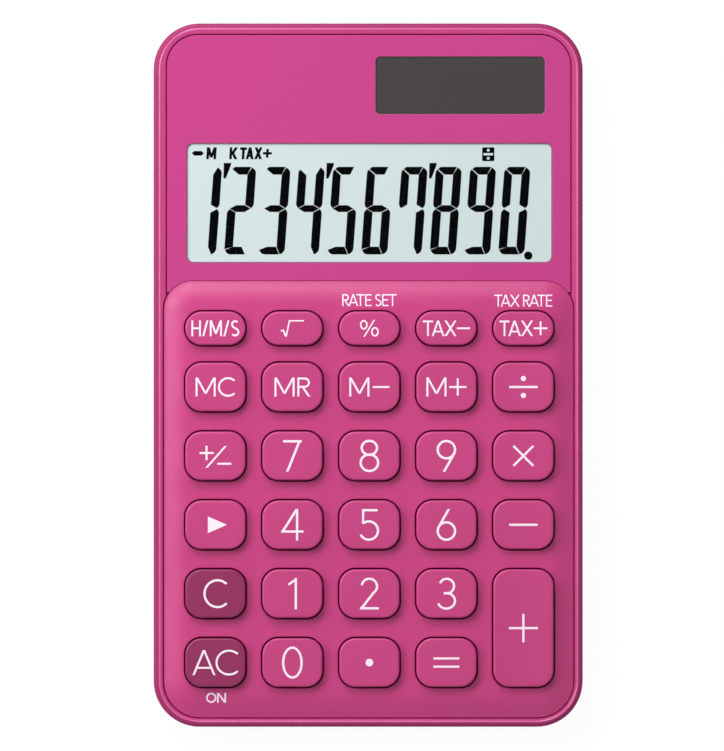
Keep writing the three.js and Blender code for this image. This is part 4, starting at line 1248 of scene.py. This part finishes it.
# The divide sign in a box: its place from the last digit, half its size, its bar and its dots.
DIVIDE_PLACE = (-1.68, 16.52)
DIVIDE_HALF = (1.01, 1.14)
DIVIDE_RADIUS = 0.2
DIVIDE_BAR = (0.81, 0.38)
DIVIDE_DOT = (0.67, 0.24)
DIVIDE_LOOP = (4, 2, 2)
DOT_SIDES = 16


def swollen(polygon):
    """The same segment, a little wider all round."""
    return [p[:2] for p in offset(at_height(anticlockwise(polygon), 0.0), SEGMENT_SPREAD)]


def leaning(polygons, x, y, lean):
    return [[(x + px + lean * py, y + py) for px, py in polygon] for polygon in polygons]


def divide_sign(shape, x, y, film_z):
    """A small box with the sign cut out of it."""
    (half_x, half_y), (half_bar, stroke), (rise, radius) = DIVIDE_HALF, DIVIDE_BAR, DIVIDE_DOT
    body = Area(x - half_x, x + half_x, y - half_y, y + half_y, DIVIDE_RADIUS, DIVIDE_RADIUS)
    slot = at_height(level(y, x - half_bar, x + half_bar, stroke)[0], 0)
    dots = [circle(x, y + side * rise, radius, 0, DOT_SIDES) for side in (-1, 1)]
    frame_loop = outline(body, 0, DIVIDE_LOOP)
    shape.plate(frame_loop, [slot, *dots], film_z + SEGMENT_GAP, film_z + SEGMENT_TOP)


def display_segments():
    low, high = box("display_window")
    left, base = (a + b for a, b in zip(middle(low, high), FIRST_DIGIT))
    film_z = high.z - LENS_THICKNESS - FILM_GAP
    places = [left + i * DIGIT_PITCH for i in range(len(SHOWN))]
    polygons = []
    for digit, x in zip(SHOWN, places):
        polygons += leaning([swollen(SEGMENTS[s]) for s in LIT[digit]], x, base, DIGIT_LEAN)
        if digit in MARKED:
            polygons += moved([swollen(THOUSANDS_MARK)], x, base)
    point_x, point_y, point_radius = POINT
    polygons += disc(places[-1] + point_x, base + point_y, point_radius)
    row = base + SIGN_ROW
    polygons += moved([MINUS_MARK], left, row)
    for sign, sign_x, sign_y, width, height, stroke in ROW_SIGNS:
        strokes = GLYPHS[sign](width, height, stroke)
        polygons += leaning(moved(strokes, 0, sign_y), left + sign_x, row, SIGN_LEAN)
    shape = Shape()
    shape.relief(polygons, flat(film_z), SEGMENT_TOP, -SEGMENT_GAP)
    divide_sign(shape, places[-1] + DIVIDE_PLACE[0], base + DIVIDE_PLACE[1], film_z)
    shape.piece("display_segments", "case", [LCD_BLACK])


# ---------------------------------------------------------------- key mat

MAT_LOOP = (8, 20, 20)
DOME_SIDES, BOSS_SIDES = 32, 24


def dome(k, sheet_z):
    """The hollow rubber dome under a key, which gives way when the key goes down; it is built in its resting
    shape.
    """
    shape = Shape()
    outside, inside = (
        [circle(k.x, k.y, radius, sheet_z + rise, DOME_SIDES) for radius, rise in rings]
        for rings in (DOME_OUTSIDE, DOME_INSIDE)
    )
    shape.loft(outside)
    shape.sheet(outside[-1])
    shape.loft(inside)
    shape.sheet(inside[0], up=False)
    shape.sheet(outside[0], [inside[-1]], up=False)
    made = shape.piece(f"dome_{k.name}", "case", [RUBBER])
    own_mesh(made)


def key_mat():
    low, high = box("key_mat")
    sheet_z, hole = low.z + MAT_SHEET, BOSS_RADIUS + BOSS_CLEARANCE
    area = node_area("key_mat", 0, KEY_RADIUS)
    feet = [circle(k.x, k.y, DOME_BASE, 0, DOME_SIDES) for k in keys.values()]
    bosses = [circle(s.x, s.y, hole, 0, BOSS_SIDES) for s in screws if low.y < s.y < high.y - hole]
    shape = Shape()
    shape.plate(outline(area, 0, MAT_LOOP), [*feet, *bosses], low.z, sheet_z)
    made = shape.piece("mat_sheet", "case", [RUBBER])
    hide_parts("key_mat")
    for k in keys.values():
        dome(k, sheet_z)


# ---------------------------------------------------------------- screws

HEAD_EDGE_STEPS = 5


def screw_piece(node, x, y, low, high):
    """A case screw seen from below: a domed head with a cross recess, and a threaded shank."""
    shape = Shape()
    radius, seat, edge = SCREW_HEAD[0], low + SCREW_HEAD[1], SCREW_HEAD_ROUND
    sections = [(radius - edge * (1 - into), low + edge * down) for into, down in quarter(HEAD_EDGE_STEPS)]
    sections += [(radius, seat), (SCREW_NECK[0], seat)]
    thread_z = seat + SCREW_NECK[1]
    for z in stepped(thread_z, high - SCREW_TIP[1], SCREW_TURNS)[:-1]:
        sections += [(SCREW_CORE, z), (SCREW_CREST[0], z + SCREW_CREST[1])]
    rings = [circle(x, y, r, z) for r, z in [*sections, (SCREW_TIP[0], high)]]
    arm, half, depth = SCREW_CROSS
    cross = [(arm, -half), (arm, half), (half, half)]
    for _ in range(3):
        cross += [(-py, px) for px, py in cross[-3:]]
    mouth, bottom = (
        [(x + px * share, y + py * share, z) for px, py in cross]
        for share, z in ((1, low), (SCREW_CROSS_TAPER, low + depth))
    )
    shape.sheet(rings[0], [mouth], up=False)
    shape.strip(bottom, mouth)
    shape.sheet(bottom, up=False)
    shape.loft(rings)
    shape.sheet(rings[-1])
    made = shape.piece(node.replace("case_", "fitted_"), "case", [SCREW], SCREW_CREASE)
    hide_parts(node)


# ---------------------------------------------------------------- building the pieces

front_case()
rear_cover()
display_panel()
display_window()
solar_window()
for k in keys.values():
    key_cap(k)
    on_key(k, LEGENDS[k.name])
deck_legends()
display_segments()
key_mat()
for screw in screws:
    screw_piece(*screw)

CARRIED = {
    "lcd_front_glass": FILM, "lcd_rear_glass": FILM, "lcd_reflector": FILM,
    "lcd_connector_strip": speckled("conductive_rubber", tint(110, 104, 102), 0.7, 0.3, 0.2),
    "circuit_board": board_material(),
    "processor": speckled("epoxy_drop", tint(20, 20, 22), 0.25, 1.2, 0.3),
    "capacitor": speckled("capacitor_ceramic", tint(180, 154, 106), 0.5, 0.3, 0.1),
    "voltage_limiter": speckled("diode_body", tint(42, 42, 44), 0.5, 0.2, 0.2),
    "solar_cell": solar_material(), "solar_lead_positive": STEEL, "solar_lead_negative": STEEL,
    "battery_cell": STEEL, "battery_contact_negative": STEEL, "battery_contact_positive": STEEL,
}
for node, material in CARRIED.items():
    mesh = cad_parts[node].data
    mesh.materials.clear()
    mesh.materials.append(material)

# ---------------------------------------------------------------- floor, light and camera

BACKGROUND = 1.0
AMBIENT = 0.37
FLOOR_HALF = 3.0
FLOOR_PAPER = (0.76, 0.76, 0.76, 1.0)
FLOOR_GLOW = 1.05
FLOOR_GLOW_SHARE = 0.90
# Name, width, power in watts, azimuth anticlockwise from the object's right, and elevation.
LAMPS = [("left_box", 0.27, 1.54, 160.0, 39.0), ("top_box", 0.27, 1.67, 108.0, 39.0)]
LIGHT_DISTANCE = 0.54
VIEW_HEIGHT = 0.1243
VIEW_OFFSET = (-0.00102, -0.00006)
VIEW_PLANE_Z = 0.005  # the height at which the view is as high as VIEW_HEIGHT
CAMERA_DISTANCE = 3.0
SENSOR_WIDTH = 36.0


def math_node(tree, operation, *values):
    """The output of a node for two numbers."""
    node = tree.nodes.new("ShaderNodeMath")
    node.operation = operation
    feed(node, dict(enumerate(values)))
    return node.outputs[0]


def sees_background(tree):
    """One where the camera, a reflection or a clear piece looks straight at a surface."""
    rays = new_node(tree, "LightPath").outputs
    seen = math_node(tree, "MAXIMUM", rays["Is Camera Ray"], rays["Is Glossy Ray"])
    return math_node(tree, "MAXIMUM", seen, rays["Is Transmission Ray"])


def build_world():
    world = bpy.data.worlds.new("studio")
    world.use_nodes = True
    tree = world.node_tree
    light = new_node(tree, "MapRange", Value=sees_background(tree), To_Min=AMBIENT, To_Max=BACKGROUND)
    feed(tree.nodes["Background"], {"Color": (1, 1, 1, 1), "Strength": light.outputs["Result"]})
    bpy.context.scene.world = world


def build_floor():
    """A pale floor that shows white to the camera, darkened a little where the object shades it."""
    mesh = bpy.data.meshes.new("floor")
    corners = [(-1, -1), (1, -1), (1, 1), (-1, 1)]
    mesh.from_pydata([(x * FLOOR_HALF, y * FLOOR_HALF, 0) for x, y in corners], [], [range(4)])
    surface = Surface("floor_paper", gloss=0.0)
    surface.color(surface.noise(1.5), shaded(FLOOR_PAPER, 0.97), FLOOR_PAPER)
    surface.roughness(surface.noise(4), 0.85, 0.95)
    tree = surface.tree
    share = math_node(tree, "MULTIPLY", sees_background(tree), FLOOR_GLOW_SHARE)
    glow = new_node(tree, "Emission", Strength=FLOOR_GLOW)
    mix = tree.nodes.new("ShaderNodeMixShader")
    feed(mix, {0: share, 1: surface.shader.outputs[0], 2: glow.outputs[0]})
    feed(tree.nodes["Material Output"], {"Surface": mix.outputs[0]})
    mesh.materials.append(surface.material)
    floor = bpy.data.objects.new("floor", mesh)
    bpy.context.scene.collection.objects.link(floor)


def build_lamp(name, size, power, azimuth, elevation):
    data = bpy.data.lights.new(name, "AREA")
    data.shape, data.size, data.energy = "DISK", size, power
    lamp = bpy.data.objects.new(name, data)
    around_z, up = math.radians(azimuth), math.radians(elevation)
    toward = Vector((math.cos(around_z) * math.cos(up), math.sin(around_z) * math.cos(up), math.sin(up)))
    lamp.location = toward * LIGHT_DISTANCE
    lamp.rotation_mode = "QUATERNION"
    lamp.rotation_quaternion = toward.to_track_quat("Z", "Y")
    bpy.context.scene.collection.objects.link(lamp)


def build_camera():
    data = bpy.data.cameras.new("camera")
    data.sensor_width = SENSOR_WIDTH
    data.lens = SENSOR_WIDTH * CAMERA_DISTANCE / VIEW_HEIGHT
    data.clip_start, data.clip_end = 0.1, 20.0
    camera = bpy.data.objects.new("camera", data)
    camera.location = (*VIEW_OFFSET, VIEW_PLANE_Z + CAMERA_DISTANCE)
    bpy.context.scene.collection.objects.link(camera)
    bpy.context.scene.camera = camera


build_world()
build_floor()
for lamp in LAMPS:
    build_lamp(*lamp)
build_camera()
bpy.context.scene.view_settings.view_transform = "Standard"
